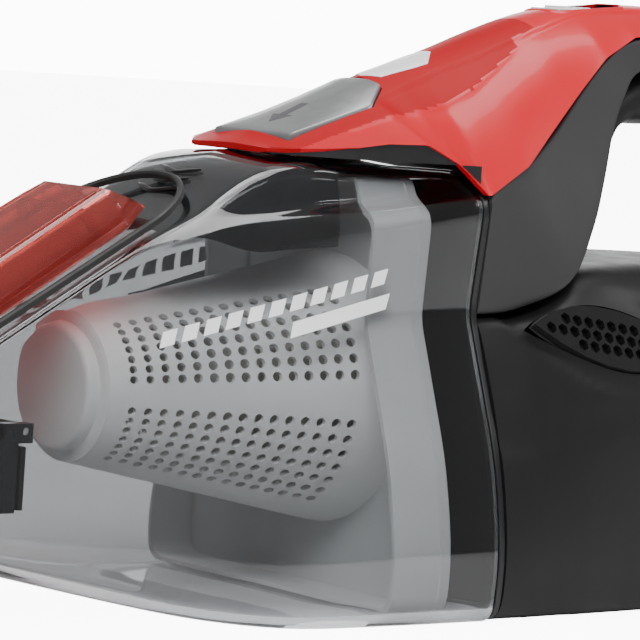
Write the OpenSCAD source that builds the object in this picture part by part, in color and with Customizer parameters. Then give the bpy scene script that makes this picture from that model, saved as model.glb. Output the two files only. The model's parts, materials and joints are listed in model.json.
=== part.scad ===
// Cordless handheld vacuum with a clear dirt cup, a flip-over crevice tool and a loop handle.
// Frame: +Z up, +X towards the handle's tail, X = Y = 0 at the middle of the footprint, Z = 0 on
// the flat base. The left half is at positive Y and the right half at negative Y.

/* [Overall] */
// Length from the nozzle's mouth to the tail
overall_l = 415; // [415:1:415]
// Distance of the cup seam behind the middle of the length
seam_x = 2.5; // [2.5:0.5:2.5]
// Wall thickness of the opaque housings
wall = 2.4; // [1.8:0.1:2.8]
// Wall thickness of the clear cup
cup_wall = 2.2; // [1.6:0.1:2.6]
// Gap left between pieces of one moving body and the next
gap = 0.4; // [0.3:0.05:0.6]

/* [Crevice tool] */
// Slope of the tool and of the bed that it lies on
tool_slope = 30; // [30:1:30]
// Length of the tool along the slope
tool_l = 118; // [110:1:119]
// Length of the sloping face at the tool's narrow end
tool_wedge = 12; // [8:1:13]
// Width of the tool at its hinged base
tool_base_w = 46; // [40:1:46]
// Width of the tool at its narrow end
tool_tip_w = 38; // [30:1:40]
// Thickness of the tool along its blade
tool_t = 12.5; // [10:0.5:13]
// Radius of the tool's hinge pin
tool_pin_r = 1.5; // [1.2:0.1:1.8]

/* [Filter] */
// Height of the filter's axis above the base
axis_z = 62; // [62:1:62]
// Radius of the shroud's wide end
shroud_r = 40; // [36:1:41]
// Radius of the shroud's narrow end
shroud_tip_r = 21; // [18:1:24]
// Length of the shroud's cone
shroud_l = 92; // [80:1:94]
// Diameter of one perforation
perf_d = 3.2; // [2.4:0.1:3.6]
// Number of pleats in the filter
pleats = 24; // [16:1:30]

/* [Release button and latch] */
// Length of the release button
button_l = 38; // [37:1:40]
// Width of the release button
button_w = 34.6; // [32:0.2:35]
// Rise of the button's side edges for each unit of length
button_rise = 0.28; // [0.27:0.01:0.29]
// Extra rise of the button's middle line for each unit of length
button_crown = 0.17; // [0.16:0.01:0.18]

/* [Power switch] */
// Length of the switch slot
switch_slot_l = 27; // [25:1:28]
// Width of the switch
switch_w = 13; // [10:1:14]
// Length of the switch's thumb piece
switch_l = 19; // [17:1:19.5]

/* [Motor and fan] */
// Height of the motor's axis, low enough that the fan clears the body's crown
motor_z = 43; // [42:1:44]
// Radius of the motor can
motor_r = 18; // [16:0.5:18]
// Length of the motor can
motor_l = 54; // [48:1:56]
// Radius of the motor shaft
shaft_r = 1.6; // [1.5:0.1:2]
// Radius of the impeller
fan_r = 33; // [28:1:34]
// Number of impeller blades
blades = 9; // [7:1:11]

/* [Battery and charging] */
// Radius of one cell
cell_r = 9.2; // [9.1:0.05:9.25]
// Length of one cell
cell_l = 65; // [64:0.5:65.5]
// Bore radius of the charging socket
socket_r = 2.8; // [2.5:0.1:3]
// Depth of the charging socket
socket_depth = 9; // [8:0.5:10]

/* [Vents] */
// Distance across the flats of one vent cell
vent_cell = 3.3; // [3:0.1:3.6]
// Width of the bar between vent cells
vent_bar = 1.1; // [0.9:0.1:1.4]

/* [Hidden] */
$fn = 48;

nose_x = -overall_l / 2;
smoked = [0.45, 0.47, 0.5, 0.45];
cover_red = [0.86, 0.06, 0.07];
tool_red = [0.85, 0.2, 0.15, 0.6];
silver = [0.75, 0.76, 0.78];
charcoal = [0.2, 0.2, 0.21];
panel_grey = [0.34, 0.34, 0.35];
black = [0.07, 0.07, 0.07];
pale = [0.85, 0.85, 0.84];

// ---- curves and sheets ----

// Index of the stretch of table t that holds x.
function stretch_of(t, x, i = 0) =
    i >= len(t) - 2 || x < t[i + 1][0] ? i : stretch_of(t, x, i + 1);
// Slope of table t at its point i, for column c.
function slope_at(t, i, c) =
    let (a = max(i - 1, 0), b = min(i + 1, len(t) - 1)) (t[b][c] - t[a][c]) / (t[b][0] - t[a][0]);
// Smooth value of column c of table t at x.
function smooth(t, x, c = 1) =
    let (i = stretch_of(t, x), h = t[i + 1][0] - t[i][0], s = (x - t[i][0]) / h,
         m0 = slope_at(t, i, c) * h, m1 = slope_at(t, i + 1, c) * h)
    (2 * s ^ 3 - 3 * s ^ 2 + 1) * t[i][c] + (s ^ 3 - 2 * s ^ 2 + s) * m0
    + (3 * s ^ 2 - 2 * s ^ 3) * t[i + 1][c] + (s ^ 3 - s ^ 2) * m1;

function unit2(v) = v / norm(v);
// Inward normal of the edge from a to b of a half outline that runs from the keel to the crown.
function inward(a, b) = let (d = unit2(b - a)) [-d[1], d[0]];
// A half outline moved inward by d, with its ends kept on the middle plane.
function inset(c, d) = [for (i = [0 : len(c) - 1])
    i == 0 ? c[0] + [0, d] : i == len(c) - 1 ? c[i] - [0, d]
    : let (n = inward(c[i - 1], c[i]), m = inward(c[i], c[i + 1])) c[i] + d * (n + m) / (1 + n * m)];
// A half outline with each inner corner rounded; r holds one cut length for each corner.
corner_steps = 3;
function rounded(c, r) = [c[0],
    for (i = [1 : len(c) - 2])
        let (u = c[i - 1] - c[i], v = c[i + 1] - c[i],
             a = c[i] + unit2(u) * min(r[i - 1], 0.45 * norm(u)),
             b = c[i] + unit2(v) * min(r[i - 1], 0.45 * norm(v)))
        for (k = [0 : corner_steps])
            let (s = k / corner_steps) (1 - s) ^ 2 * a + 2 * s * (1 - s) * c[i] + s ^ 2 * b,
    c[len(c) - 1]];
// The whole closed outline of a half outline.
function whole(h) = concat(h, [for (i = [len(h) - 2 : -1 : 1]) [-h[i][0], h[i][1]]]);
function at_x(x, outline) = [for (p = outline) [x, p[0], p[1]]];
function sided(points, side) = [for (p = points) [p[0], side * p[1], p[2]]];

// Two triangles of one cell of a grid.
function cell(a, b, c, d, flip) = flip ? [[a, c, b], [a, d, c]] : [[a, b, c], [a, c, d]];
// A solid sheet between an outer and an inner grid of points. closed joins each row's two ends.
module thick_sheet(outer, inner, closed = false, flip = false) {
    rows = len(outer);
    cols = len(outer[0]);
    n = rows * cols;
    last = closed ? cols - 1 : cols - 2;
    function at(i, j) = i * cols + j % cols;
    faces = [
        for (i = [0 : rows - 2]) for (j = [0 : last])
            each cell(at(i, j), at(i + 1, j), at(i + 1, j + 1), at(i, j + 1), flip),
        for (i = [0 : rows - 2]) for (j = [0 : last])
            each cell(n + at(i, j), n + at(i, j + 1), n + at(i + 1, j + 1), n + at(i + 1, j), flip),
        for (j = [0 : last])
            each cell(at(0, j), at(0, j + 1), n + at(0, j + 1), n + at(0, j), flip),
        for (j = [0 : last])
            each cell(at(rows - 1, j + 1), at(rows - 1, j), n + at(rows - 1, j),
                      n + at(rows - 1, j + 1), flip),
        if (!closed) for (i = [0 : rows - 2])
            each cell(at(i + 1, 0), at(i, 0), n + at(i, 0), n + at(i + 1, 0), flip),
        if (!closed) for (i = [0 : rows - 2])
            each cell(at(i, cols - 1), at(i + 1, cols - 1), n + at(i + 1, cols - 1),
                      n + at(i, cols - 1), flip)
    ];
    polyhedron(points = [for (r = outer) each r, for (r = inner) each r], faces = faces);
}
// A solid through a list of rings of points.
module loft(rings, flip = false) {
    rows = len(rings);
    cols = len(rings[0]);
    function at(i, j) = i * cols + j % cols;
    faces = [
        for (i = [0 : rows - 2]) for (j = [0 : cols - 1])
            each cell(at(i, j), at(i + 1, j), at(i + 1, j + 1), at(i, j + 1), flip),
        for (j = [1 : cols - 2]) flip ? [at(0, 0), at(0, j + 1), at(0, j)]
                                      : [at(0, 0), at(0, j), at(0, j + 1)],
        for (j = [1 : cols - 2]) flip
            ? [at(rows - 1, 0), at(rows - 1, j), at(rows - 1, j + 1)]
            : [at(rows - 1, 0), at(rows - 1, j + 1), at(rows - 1, j)]
    ];
    polyhedron(points = [for (r = rings) each r], faces = faces);
}

module along_x(x0, x1) translate([x0, 0, 0]) rotate([90, 0, 90]) linear_extrude(x1 - x0) children();
module along_y(y0, y1) translate([0, y1, 0]) rotate([90, 0, 0]) linear_extrude(y1 - y0) children();
module rod_x(x0, x1, y, z, r) translate([x0, y, z]) rotate([0, 90, 0]) cylinder(r = r, h = x1 - x0);
module rod_y(y0, y1, x, z, r) translate([x, y1, z]) rotate([90, 0, 0]) cylinder(r = r, h = y1 - y0);
module box_from(lo, hi) translate(lo) cube(hi - lo);

// ---- clear cup ----

// Each row: x, keel height, then width and height of the bottom corner, the lower flank, the
// belt, the waist, the shoulder, the spine's foot and the spine's edge, and the crown height.
cup_rows = [
    [nose_x, 28.5, 33, 28.5, 34, 32, 34, 36, 33.5, 41, 32.5, 44, 31.5, 46, 29, 47, 47.2],
    [-154.5, 16, 38, 16, 39.5, 23, 38, 37, 33, 60, 32, 71, 30.5, 75.5, 29, 77, 77.6],
    [-109.5, 6, 45, 6, 47, 18, 44, 41, 35.5, 70, 33.5, 97, 30, 101.5, 28.5, 103, 103.5],
    [-86.5, 2, 50, 2, 52, 17, 48, 42, 37.5, 76, 36, 107.5, 31, 112, 28, 114.5, 116.5],
    [-62.5, 0, 56, 0, 58, 18, 52.5, 44, 39.5, 81, 39.5, 112, 33.5, 116, 30, 127, 129.5],
    [-30, 0, 60, 0, 61.5, 20, 56, 45.5, 41, 85, 42, 116, 34.5, 119, 31.5, 128.6, 129.8],
    [seam_x, 0, 61, 0, 62.5, 20, 57.5, 46, 41.5, 87.5, 45, 120.8, 37, 124.4, 32, 128.6, 129.6]];
cup_cuts = [6, 12, 10, 4, 5, 3, 4];
function cup_half(x) = let (v = [for (c = [1 : 16]) smooth(cup_rows, x, c)])
    [[0, v[0]], [v[1], v[2]], [v[3], v[4]], [v[5], v[6]], [v[7], v[8]], [v[9], v[10]],
     [v[11], v[12]], [v[13], v[14]], [0, v[15]]];
function cup_section(x, d) = whole(rounded(inset(cup_half(x), d), cup_cuts));
cup_front = nose_x + 3.6;
cup_back = seam_x - 0.2;
cup_stations = [cup_front, -190, -172, -154.5, -138, -122, -109.5, -98, -86.5, -78, -70, -62.5,
                -52, -40, -28, -12, cup_back];

module dirt_cup() {
    color(smoked)
    thick_sheet([for (x = cup_stations) at_x(x, cup_section(x, 0))],
                [for (x = cup_stations) at_x(x, cup_section(x, cup_wall))], closed = true);
}

// Places children in the tool's bed: local X runs up the slope and local Z stands off it.
bed_z = 47.6;
module on_bed() translate([nose_x, 0, bed_z]) rotate([0, -tool_slope, 0]) children();

// The pin's place in the bed's own frame.
pin_u = 7.7;
pin_v = 3.6;
ear_r = 3.2;
ear_y = 25;

module nozzle_trim() {
    color(black) {
        along_x(nose_x, nose_x + 3.4) difference() {
            polygon(cup_section(nose_x, 0));
            polygon(cup_section(nose_x, cup_wall));
        }
        for (side = [-1, 1])
            translate([0, side * (ear_y + 1.5), 0])
            on_bed()
            difference() {
                union() {
                    rod_y(-1.5, 1.5, pin_u, pin_v, ear_r);
                    box_from([pin_u - ear_r, -1.5, -0.3], [pin_u + ear_r, 1.5, pin_v]);
                }
                rod_y(-4, 4, pin_u, pin_v, tool_pin_r);
            }
    }
}

module tool_hinge_pin() {
    color("silver") on_bed() rod_y(-ear_y - 3, ear_y + 3, pin_u, pin_v, tool_pin_r);
}

// The tool: a flat tapering duct that lies face down on its bed.
tool_u0 = pin_u + 5.4;
tool_u1 = tool_u0 + tool_l;
tool_v0 = 0.7;
tool_wall = 1.8;
base_t = 22;
module tool_side(d) polygon([[tool_u0 - d, tool_v0 + d], [tool_u1 + d, tool_v0 + d],
    [tool_u1 - tool_wedge + d, tool_v0 + tool_t - d], [tool_u0 + 34, tool_v0 + tool_t - d],
    [tool_u0 + 16, tool_v0 + base_t - d], [tool_u0 - d, tool_v0 + base_t - d]]);
tool_corner = 7;
function plan_side(side, d) = [[tool_u0 - 1, side * (tool_base_w / 2 - d)],
    [tool_u0 + 24, side * (tool_base_w / 2 - d)], [tool_u1 - tool_wedge, side * (tool_tip_w / 2 - d)],
    [tool_u1 + 1, side * (tool_tip_w / 2 - tool_corner - d)]];
module tool_plan(d)
    polygon(concat(plan_side(-1, d), [for (i = [3 : -1 : 0]) plan_side(1, d)[i]]));
module tool_solid(d, e) intersection() {
    along_y(-60, 60) tool_side(e);
    translate([0, 0, -5]) linear_extrude(40) tool_plan(d);
}
module crevice_tool() {
    knuckle_y = 20;
    color(tool_red) on_bed() difference() {
        union() {
            tool_solid(0, 0);
            for (side = [-1, 1]) {
                rod_y(side * knuckle_y - 2.5, side * knuckle_y + 2.5, pin_u, pin_v, 2.8);
                box_from([pin_u, side * knuckle_y - 2.5, pin_v - 2.8],
                         [tool_u0 + 1, side * knuckle_y + 2.5, pin_v + 2.8]);
            }
        }
        intersection() {
            along_y(-60, 60) polygon([[tool_u0 + 1.2, tool_v0 + tool_wall],
                [tool_u1 + 5, tool_v0 + tool_wall], [tool_u1 + 5, tool_v0 + tool_t - tool_wall],
                [tool_u0 + 34, tool_v0 + tool_t - tool_wall],
                [tool_u0 + 16, tool_v0 + base_t - tool_wall],
                [tool_u0 - 3, tool_v0 + base_t - tool_wall], [tool_u0 - 3, tool_v0 + 4]]);
            translate([0, 0, -5]) linear_extrude(40) tool_plan(tool_wall);
        }
        rod_y(-60, 60, pin_u, pin_v, tool_pin_r + 0.05);
    }
}

// Rim of the tool's bed: two straight legs and a round arch behind the tool's narrow end.
module recess_rim() {
    leg_y = 27;
    arch_u = 121;
    rim_w = 1.8;
    color(black) on_bed() translate([0, 0, 0.5]) linear_extrude(2) difference() {
        union() {
            translate([24, -leg_y]) square([arch_u - 24, 2 * leg_y]);
            translate([arch_u, 0]) circle(r = leg_y);
        }
        translate([23, -leg_y + rim_w]) square([arch_u - 23, 2 * (leg_y - rim_w)]);
        translate([arch_u, 0]) circle(r = leg_y - rim_w);
    }
}

// ---- inlet inside the cup ----

duct_x0 = -166;
duct_x1 = -138;
duct_z0 = 30;
duct_z1 = 50;
flap_pin_r = 1.2;
flap_pin_z = duct_z1 + 2.2;
flap_x = duct_x1 + 2.4;
module inlet_duct() {
    duct_w = 40;
    duct_h = duct_z1 - duct_z0;
    ear_at = 18;
    t = 1.8;
    color(black) difference() {
        union() {
            along_x(duct_x0, duct_x1)
                translate([-duct_w / 2, duct_z0]) square([duct_w, duct_h]);
            along_x(duct_x0, duct_x0 + 2) polygon(cup_section(duct_x0, cup_wall + gap));
            for (side = [-1, 1])
                box_from([duct_x1 - 5, side * ear_at - 2, duct_z1 - 1],
                         [flap_x + 2.2, side * ear_at + 2, flap_pin_z + 2.2]);
        }
        along_x(duct_x0 - 1, duct_x1 + 9)
            translate([-duct_w / 2 + t, duct_z0 + t]) square([duct_w - 2 * t, duct_h - 2 * t]);
        rod_y(-30, 30, flap_x, flap_pin_z, flap_pin_r);
    }
}
module flap_pin() {
    color("silver") rod_y(-19.5, 19.5, flap_x, flap_pin_z, flap_pin_r);
}
module inlet_flap() {
    color([0.12, 0.12, 0.12]) difference() {
        union() {
            rod_y(-15.5, 15.5, flap_x, flap_pin_z, 2);
            box_from([flap_x - 1.2, -15.5, duct_z0 + 0.6], [flap_x + 0.6, 15.5, flap_pin_z]);
            box_from([flap_x - 1.2, -19.5, duct_z0 + 0.6], [flap_x + 0.6, 19.5, duct_z1 - 2]);
        }
        rod_y(-30, 30, flap_x, flap_pin_z, flap_pin_r + 0.05);
    }
}

// ---- filter ----

flange_x = -17.5;
flange_t = 4;
shroud_x0 = flange_x - shroud_l;
shroud_wall = 1.6;
module filter_flange() {
    color(pale) difference() {
        union() {
            along_x(flange_x, flange_x + flange_t) polygon(cup_section(flange_x, cup_wall + gap));
            rod_x(flange_x + flange_t, flange_x + flange_t + 8, 0, axis_z, shroud_r - 5);
        }
        rod_x(flange_x - 1, flange_x + flange_t + 9, 0, axis_z, shroud_r - 8);
    }
}
// Two rows of patches, one on each flank, of round perforations.
module perforations() {
    for (patch = [25, 155, -25, -155])
        for (row = [0 : 4]) for (k = [-1.5 : 1.5])
            translate([shroud_x0 + 24 + row * 11, 0, axis_z])
            rotate([patch + k * 11 - 90, 0, 0])
            translate([0, 0, shroud_tip_r - 4])
            cylinder(d = perf_d, h = 28);
}
module filter_shroud() {
    color([0.72, 0.72, 0.71]) difference() {
        union() {
            translate([shroud_x0, 0, axis_z]) rotate([0, 90, 0])
                cylinder(r1 = shroud_tip_r, r2 = shroud_r, h = shroud_l);
            rod_x(shroud_x0 - 5, shroud_x0, 0, axis_z, shroud_tip_r - 3);
        }
        translate([shroud_x0 + 2, 0, axis_z]) rotate([0, 90, 0])
            cylinder(r1 = shroud_tip_r - shroud_wall, r2 = shroud_r - shroud_wall, h = shroud_l - 2 + 0.01);
        perforations();
    }
}
// A star of pleats between a closed front cap and a rear ring that sits against the flange.
module pleated_filter() {
    tip_r = 26.5;
    fold = 5;
    bore_r = 19;
    cap_r = 27.2;
    ring_r = 35;
    x0 = flange_x - 44;
    x1 = flange_x - 3;
    pleat = [for (i = [0 : 2 * pleats - 1])
        let (a = 180 * i / pleats, r = i % 2 == 0 ? tip_r : tip_r - fold) [r * cos(a), r * sin(a)]];
    color("white") difference() {
        union() {
            translate([x0 - 0.5, 0, axis_z]) rotate([0, 90, 0]) linear_extrude(x1 - x0 + 1) polygon(pleat);
            rod_x(x0 - 2, x0, 0, axis_z, cap_r);
            rod_x(x1, x1 + 2.8, 0, axis_z, ring_r);
        }
        rod_x(x0, x1 + 4, 0, axis_z, bore_r);
    }
}

// ---- seam ----

seal_t = 1;
module cup_seal() {
    color([0.03, 0.03, 0.03]) along_x(seam_x, seam_x + seal_t) difference() {
        polygon(cup_section(seam_x, 0.9));
        polygon(cup_section(seam_x, 4.2));
    }
}
bulk_x0 = seam_x + seal_t;
bulk_x1 = bulk_x0 + 2.2;
// The air hole lies between the filter's axis and the motor's.
air_hole_z = (axis_z + motor_z) / 2;
module front_bulkhead() {
    color(black) difference() {
        along_x(bulk_x0, bulk_x1) polygon(cup_section(seam_x, 0.35));
        rod_x(0, 20, 0, air_hole_z, 23);
    }
}

// ---- red top cover ----

// Each row: x, edge height, edge half width, crown height, roundness of the section.
cover_rows = [
    [-57.4, 131.8, 17.4, 132.4, 1.6], [-52, 132.3, 24, 134.8, 1.5], [-46.5, 132.9, 30.5, 138, 1.35],
    [-38, 133.9, 36, 142, 1.3], [-28.5, 135.3, 37.5, 146.2, 1.3], [-16, 135.6, 40, 151.4, 1.4],
    [-6, 130.6, 42.5, 155.2, 1.6], [4.5, 121.8, 44.9, 158.6, 1.8], [21.5, 131, 42, 164.4, 2],
    [35.5, 142, 36.5, 169.8, 2.1],
    [50.5, 153.8, 31, 175, 2.2], [63.5, 164, 27, 178.2, 2.3], [79.5, 171, 22.5, 180, 2.4],
    [102.5, 172.8, 19.5, 181, 2.5], [130, 170.4, 18.5, 178.6, 2.5], [152, 164, 18, 171, 2.5],
    [165, 159, 17, 163, 2.5]];
cover_cols = 16;
function cover_point(x, s, d) = let (w = lookup(x, [for (r = cover_rows) [r[0], r[2]]]) - d,
    z0 = lookup(x, [for (r = cover_rows) [r[0], r[1]]]), z1 = smooth(cover_rows, x, 3),
    e = smooth(cover_rows, x, 4))
    [x, s * w, d + z0 + (z1 - z0 - 2 * d) * (1 - abs(s) ^ e)];
cover_stations = [-57.4, -54.5, -52, -49, -46.5, -42, -38, -33, -28.5, -22, -16, -11, -6, -1, 4.5, 13, 21.5,
                  28, 35.5, 43, 50.5, 57, 63.5, 71, 79.5, 91, 102.5, 116, 130, 142, 152, 160, 165];
// Where the cover is arched, its rim is a flat land as wide as the wall. Near the front it is nearly
// flat, so its rim is upright there, and it is thinner, so that the cup's crown slides under it.
cup_clear_z = 130.3;
full_arch = 12;
function cover_inner(x, s) = let (o = cover_point(x, s, 0), edge = cover_point(x, 1, 0)[2],
    rise = cover_point(x, 0, 0)[2] - edge, arch = min(1, rise / full_arch),
    depth = min(wall, edge + 0.3 * rise - cup_clear_z), rim = 0.6 * depth * (1 - arch))
    [x, o[1] - s * wall * arch, o[2] - rim - (depth - rim) * (1 - abs(s) ^ 6)];
button_x = -49.2;
switch_x = 74;
// The button is square at its front edge, X = button_x, and tapers at its rear.
module button_outline(grow) {
    half_w = button_w / 2;
    taper_l = 8;
    taper_w = 6.3;
    offset(delta = grow)
        polygon([[0, -half_w], [button_l - taper_l, -half_w], [button_l, -half_w + taper_w],
                 [button_l, half_w - taper_w], [button_l - taper_l, half_w], [0, half_w]]);
}
module top_cover() {
    cols = [for (j = [0 : cover_cols]) -1 + 2 * j / cover_cols];
    color(cover_red) difference() {
        thick_sheet([for (x = cover_stations) [for (s = cols) cover_point(x, s, 0)]],
                    [for (x = cover_stations) [for (s = cols) cover_inner(x, s)]], flip = true);
        translate([button_x, 0, 120]) linear_extrude(60) button_outline(gap);
        box_from([switch_x - switch_slot_l / 2, -switch_w / 2 - 1, 160],
                 [switch_x + switch_slot_l / 2, switch_w / 2 + 1, 200]);
    }
}

// ---- release button, spring and latch ----

button_z = 136.2;
button_t = 3.2;
stem_x = -16.5;
// Height of the button's crowned face at x behind its front edge and y.
function button_face(x, y) =
    button_z + x * (button_rise + button_crown * (1 - (abs(y) / (button_w / 2 + 1)) ^ 3));
module release_button() {
    xs = [-1, 8, 18, 28, button_l + 1];
    ys = [for (j = [-6 : 6]) j * (button_w / 2 + 1) / 6];
    stem_top = 149.3;
    color(silver) translate([button_x, 0, 0]) {
        intersection() {
            translate([0, 0, 120]) linear_extrude(50) button_outline(0);
            thick_sheet([for (x = xs) [for (y = ys) [x, y, button_face(x, y)]]],
                        [for (x = xs) [for (y = ys) [x, y, button_face(x, y) - button_t]]],
                        flip = true);
        }
        box_from([stem_x - button_x - 2, -4, latch_z + 1], [stem_x - button_x + 2, 4, stem_top]);
    }
}
spring_x = -22.5;
spring_z0 = 132.6;
spring_z1 = 141.8;
module button_spring() {
    turns = 5;
    coil_r = 2.6;
    wire_r = 0.45;
    steps = 16 * turns;
    sides = 6;
    rise = spring_z1 - spring_z0 - 2 * wire_r;
    color("silver") for (side = [-1, 1])
        translate([spring_x, side * 10, spring_z0 + wire_r])
        loft([for (i = [0 : steps]) [for (k = [0 : sides - 1])
            let (a = 360 * turns * i / steps, b = 360 * k / sides, r = coil_r + wire_r * cos(b))
            [r * cos(a), r * sin(a), rise * i / steps + wire_r * sin(b)]]], flip = true);
}
latch_x = -29.5;
latch_z = 134;
latch_pin_r = 1.2;
hook_z = 130.6;
module cup_latch() {
    half_w = 6;
    hook_l = 5.5;
    color(charcoal) difference() {
        union() {
            rod_y(-half_w, half_w, latch_x, latch_z, 2.4);
            box_from([latch_x, -half_w, latch_z - 0.8], [stem_x + 2, half_w, latch_z + 0.6]);
            box_from([latch_x - hook_l, -half_w, latch_z - 0.8], [latch_x, half_w, latch_z + 0.6]);
            box_from([latch_x - hook_l, -half_w, hook_z], [latch_x - hook_l + 2, half_w, latch_z + 0.6]);
        }
        rod_y(-20, 20, latch_x, latch_z, latch_pin_r + 0.05);
    }
}
module latch_pin() {
    color("silver") rod_y(-9.5, 9.5, latch_x, latch_z, latch_pin_r);
}
// Plate under the cover that carries the latch's pin and the button's springs.
module latch_frame() {
    z0 = 131.5;
    z1 = 132.5;
    ear_at = 8.2;
    color(black) difference() {
        union() {
            box_from([-42, -29, z0], [-6, 29, z1]);
            for (side = [-1, 1]) {
                box_from([latch_x - 2.4, side * ear_at - 1.4, z1 - 0.5],
                         [latch_x + 2.4, side * ear_at + 1.4, latch_z + 2.2]);
                translate([-13, side * 22, z0]) cylinder(r = 3, h = 8.2);
                translate([spring_x, side * 10, z0]) cylinder(r = 1.8, h = 5);
            }
        }
        box_from([latch_x - 10, -6.6, z0 - 1], [stem_x + 4, 6.6, z1 + 1]);
        rod_y(-20, 20, latch_x, latch_z, latch_pin_r);
    }
}

// ---- power switch ----

switch_z = 176.2;
module_z = 171.5;
module power_switch() {
    color([0.9, 0.9, 0.9]) translate([switch_x - 3, 0, 0]) {
        box_from([-switch_l / 2, -switch_w / 2, switch_z], [switch_l / 2, switch_w / 2, switch_z + 2]);
        for (k = [0 : 3])
            box_from([-5 + 3 * k, -switch_w / 2 + 1.5, switch_z + 2],
                     [-3.6 + 3 * k, switch_w / 2 - 1.5, switch_z + 2.9]);
        box_from([-2, -2, module_z + 1.2], [2, 2, switch_z]);
    }
}
module switch_module() {
    color([0.15, 0.15, 0.16]) difference() {
        union() {
            box_from([switch_x - 10, -7.6, module_z], [switch_x + 12, 7.6, module_z + 3]);
            box_from([switch_x - 5, -5, module_z - 1], [switch_x + 8, 5, module_z]);
        }
        box_from([switch_x - 6, -2.6, module_z + 0.8], [switch_x + 6, 2.6, module_z + 4]);
    }
}

// ---- handle ----

// Each row: x and z of the panel's middle line, its direction, half height, and half width at
// the upper and at the lower edge.
panel_rows = [
    [bulk_x1 + 0.1, 104.2, 0, 17, 44.8, 41.8], [14, 106.6, 20, 18.4, 44, 44.5],
    [27, 113, 33, 19, 41.5, 47], [39, 123.5, 46, 15.5, 37.5, 42], [49.5, 135.5, 54, 12, 33.5, 36],
    [58, 147, 52, 9.2, 30, 31.5], [67.5, 157.6, 42, 6.8, 26.5, 28], [80.5, 165.3, 22, 5.2, 22.6, 23.6],
    [107.5, 168, 0, 4.5, 19.4, 20], [136, 163.6, -15, 4.5, 18.4, 19], [162, 152.6, -31, 6, 18.2, 19],
    [183, 136, -50, 8, 19, 20], [195.5, 114, -74, 9.4, 21, 22], [197.6, 102, -92, 10.2, 23, 24],
    [194.6, 94.4, -124, 11, 24, 25]];
panel_cols = 7;
middle_gap = 0.15;
panel_lines = [for (j = [0 : panel_cols]) -1 + 2 * j / panel_cols];
// Half height of the panel's outer side.
function panel_half(r) = r[3] - 0.3;
// A point at half width y: f runs from the panel's lower edge, -1, to its upper edge, 1.
function panel_at(r, f, y) =
    [r[0] - sin(r[2]) * f * panel_half(r), y, r[1] + cos(r[2]) * f * panel_half(r)];
// Half width of the panel at f and depth d, with its edges drawn in.
function panel_y(r, f, d) = (r[4] + r[5]) / 2 + f * (r[4] - r[5]) / 2 - (abs(f) > 0.9 ? 1.2 : 0) - d;
// A channel section from the middle plane, out round the panel and back, at depth d. The inner
// side's height is k of the outer side's.
function panel_channel(r, d, k) = [panel_at(r, -k, middle_gap),
    for (f = panel_lines) panel_at(r, f * k, panel_y(r, f * k, d)), panel_at(r, k, middle_gap)];
function inner_share(r) = 1 - min(wall, 0.45 * r[3]) / panel_half(r);
module handle_half(side) {
    color(panel_grey) thick_sheet([for (r = panel_rows) sided(panel_channel(r, 0, 1), side)],
        [for (r = panel_rows) sided(panel_channel(r, wall, inner_share(r)), side)],
        flip = side < 0);
}
module handle_left() handle_half(1);
module handle_right() handle_half(-1);

// Each row: x and z of the liner's middle line, its direction, half height and half width.
liner_rows = [
    [52.9, 106.3, 68, 5.8, 31], [61.4, 122.4, 66, 4.3, 28], [69.3, 138.8, 58, 4, 24.4],
    [80.4, 149.3, 26, 7.1, 20.6], [107.5, 153.4, 0, 9.4, 18.2], [135.9, 149, -13, 8.4, 17.6],
    [157.4, 138.7, -34, 6.9, 17.4], [172.5, 123.7, -58, 6.4, 18], [180.2, 107.9, -78, 5.9, 20],
    [180.4, 100.8, -98, 5, 20.6]];
liner_ring = 20;
module grip_liner() {
    color(black) loft([for (r = liner_rows) [for (k = [0 : liner_ring - 1])
        let (a = 360 * (k + 0.5) / liner_ring, y = sign(cos(a)) * abs(cos(a)) ^ 0.6 * r[4],
             v = sign(sin(a)) * abs(sin(a)) ^ 0.7 * (r[3] - 0.2))
        [r[0] - sin(r[2]) * v, y, r[1] + cos(r[2]) * v]]], flip = true);
}

// ---- lower body ----

// Each row: x, keel height, then width and height of the bottom corner, the lower flank, the
// belt, the upper flank and the shoulder, and the crown height.
body_rows = [
    [seam_x, 0, 61, 0, 62.5, 20, 57.5, 46, 41.8, 84, 38, 86.3, 86.5],
    [24.5, 0, 61, 0, 63, 22, 60, 48, 51.5, 84.5, 45, 89, 89.4],
    [42.5, 0, 61, 0, 63, 23, 61.5, 52, 56.5, 84, 44, 99, 100],
    [72.5, 0, 60, 0, 62, 24, 61.5, 57, 57.5, 79, 41, 102.2, 103],
    [112.5, 0, 57, 0, 59, 24, 59, 58, 55, 77, 37, 102.4, 103],
    [152.5, 3, 49, 3, 52, 27, 52, 58, 49, 75, 33, 101, 102.4],
    [187.5, 13, 35, 13, 39, 33, 39.5, 56, 37, 72, 25, 96, 98],
    [202, 24, 24, 24, 27, 40, 27.5, 54, 25, 68, 17, 85, 87]];
body_cuts = [8, 14, 12, 12, 9];
function body_half(x) = let (v = [for (c = [1 : 12]) smooth(body_rows, x, c)])
    [[0, v[0]], [v[1], v[2]], [v[3], v[4]], [v[5], v[6]], [v[7], v[8]], [v[9], v[10]], [0, v[11]]];
body_stations = [bulk_x1 + 0.1, 12, 20, 28, 36, 46, 58, 72.5, 90, 112.5, 132, 152.5, 170, 187.5, 196,
                 202];
function body_line(x, d) = let (r = rounded(inset(body_half(x), d), body_cuts))
    [for (p = r) [max(p[0], middle_gap), p[1]]];
// The vent's plane leans in towards the top, as the flank there does.
vent_y = 53;
vent_mid_z = 84;
vent_lean = 27;
module on_vent(side) scale([1, side, 1]) translate([0, vent_y, vent_mid_z]) rotate([vent_lean, 0, 0])
    translate([0, 0, -vent_mid_z]) children();
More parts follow.
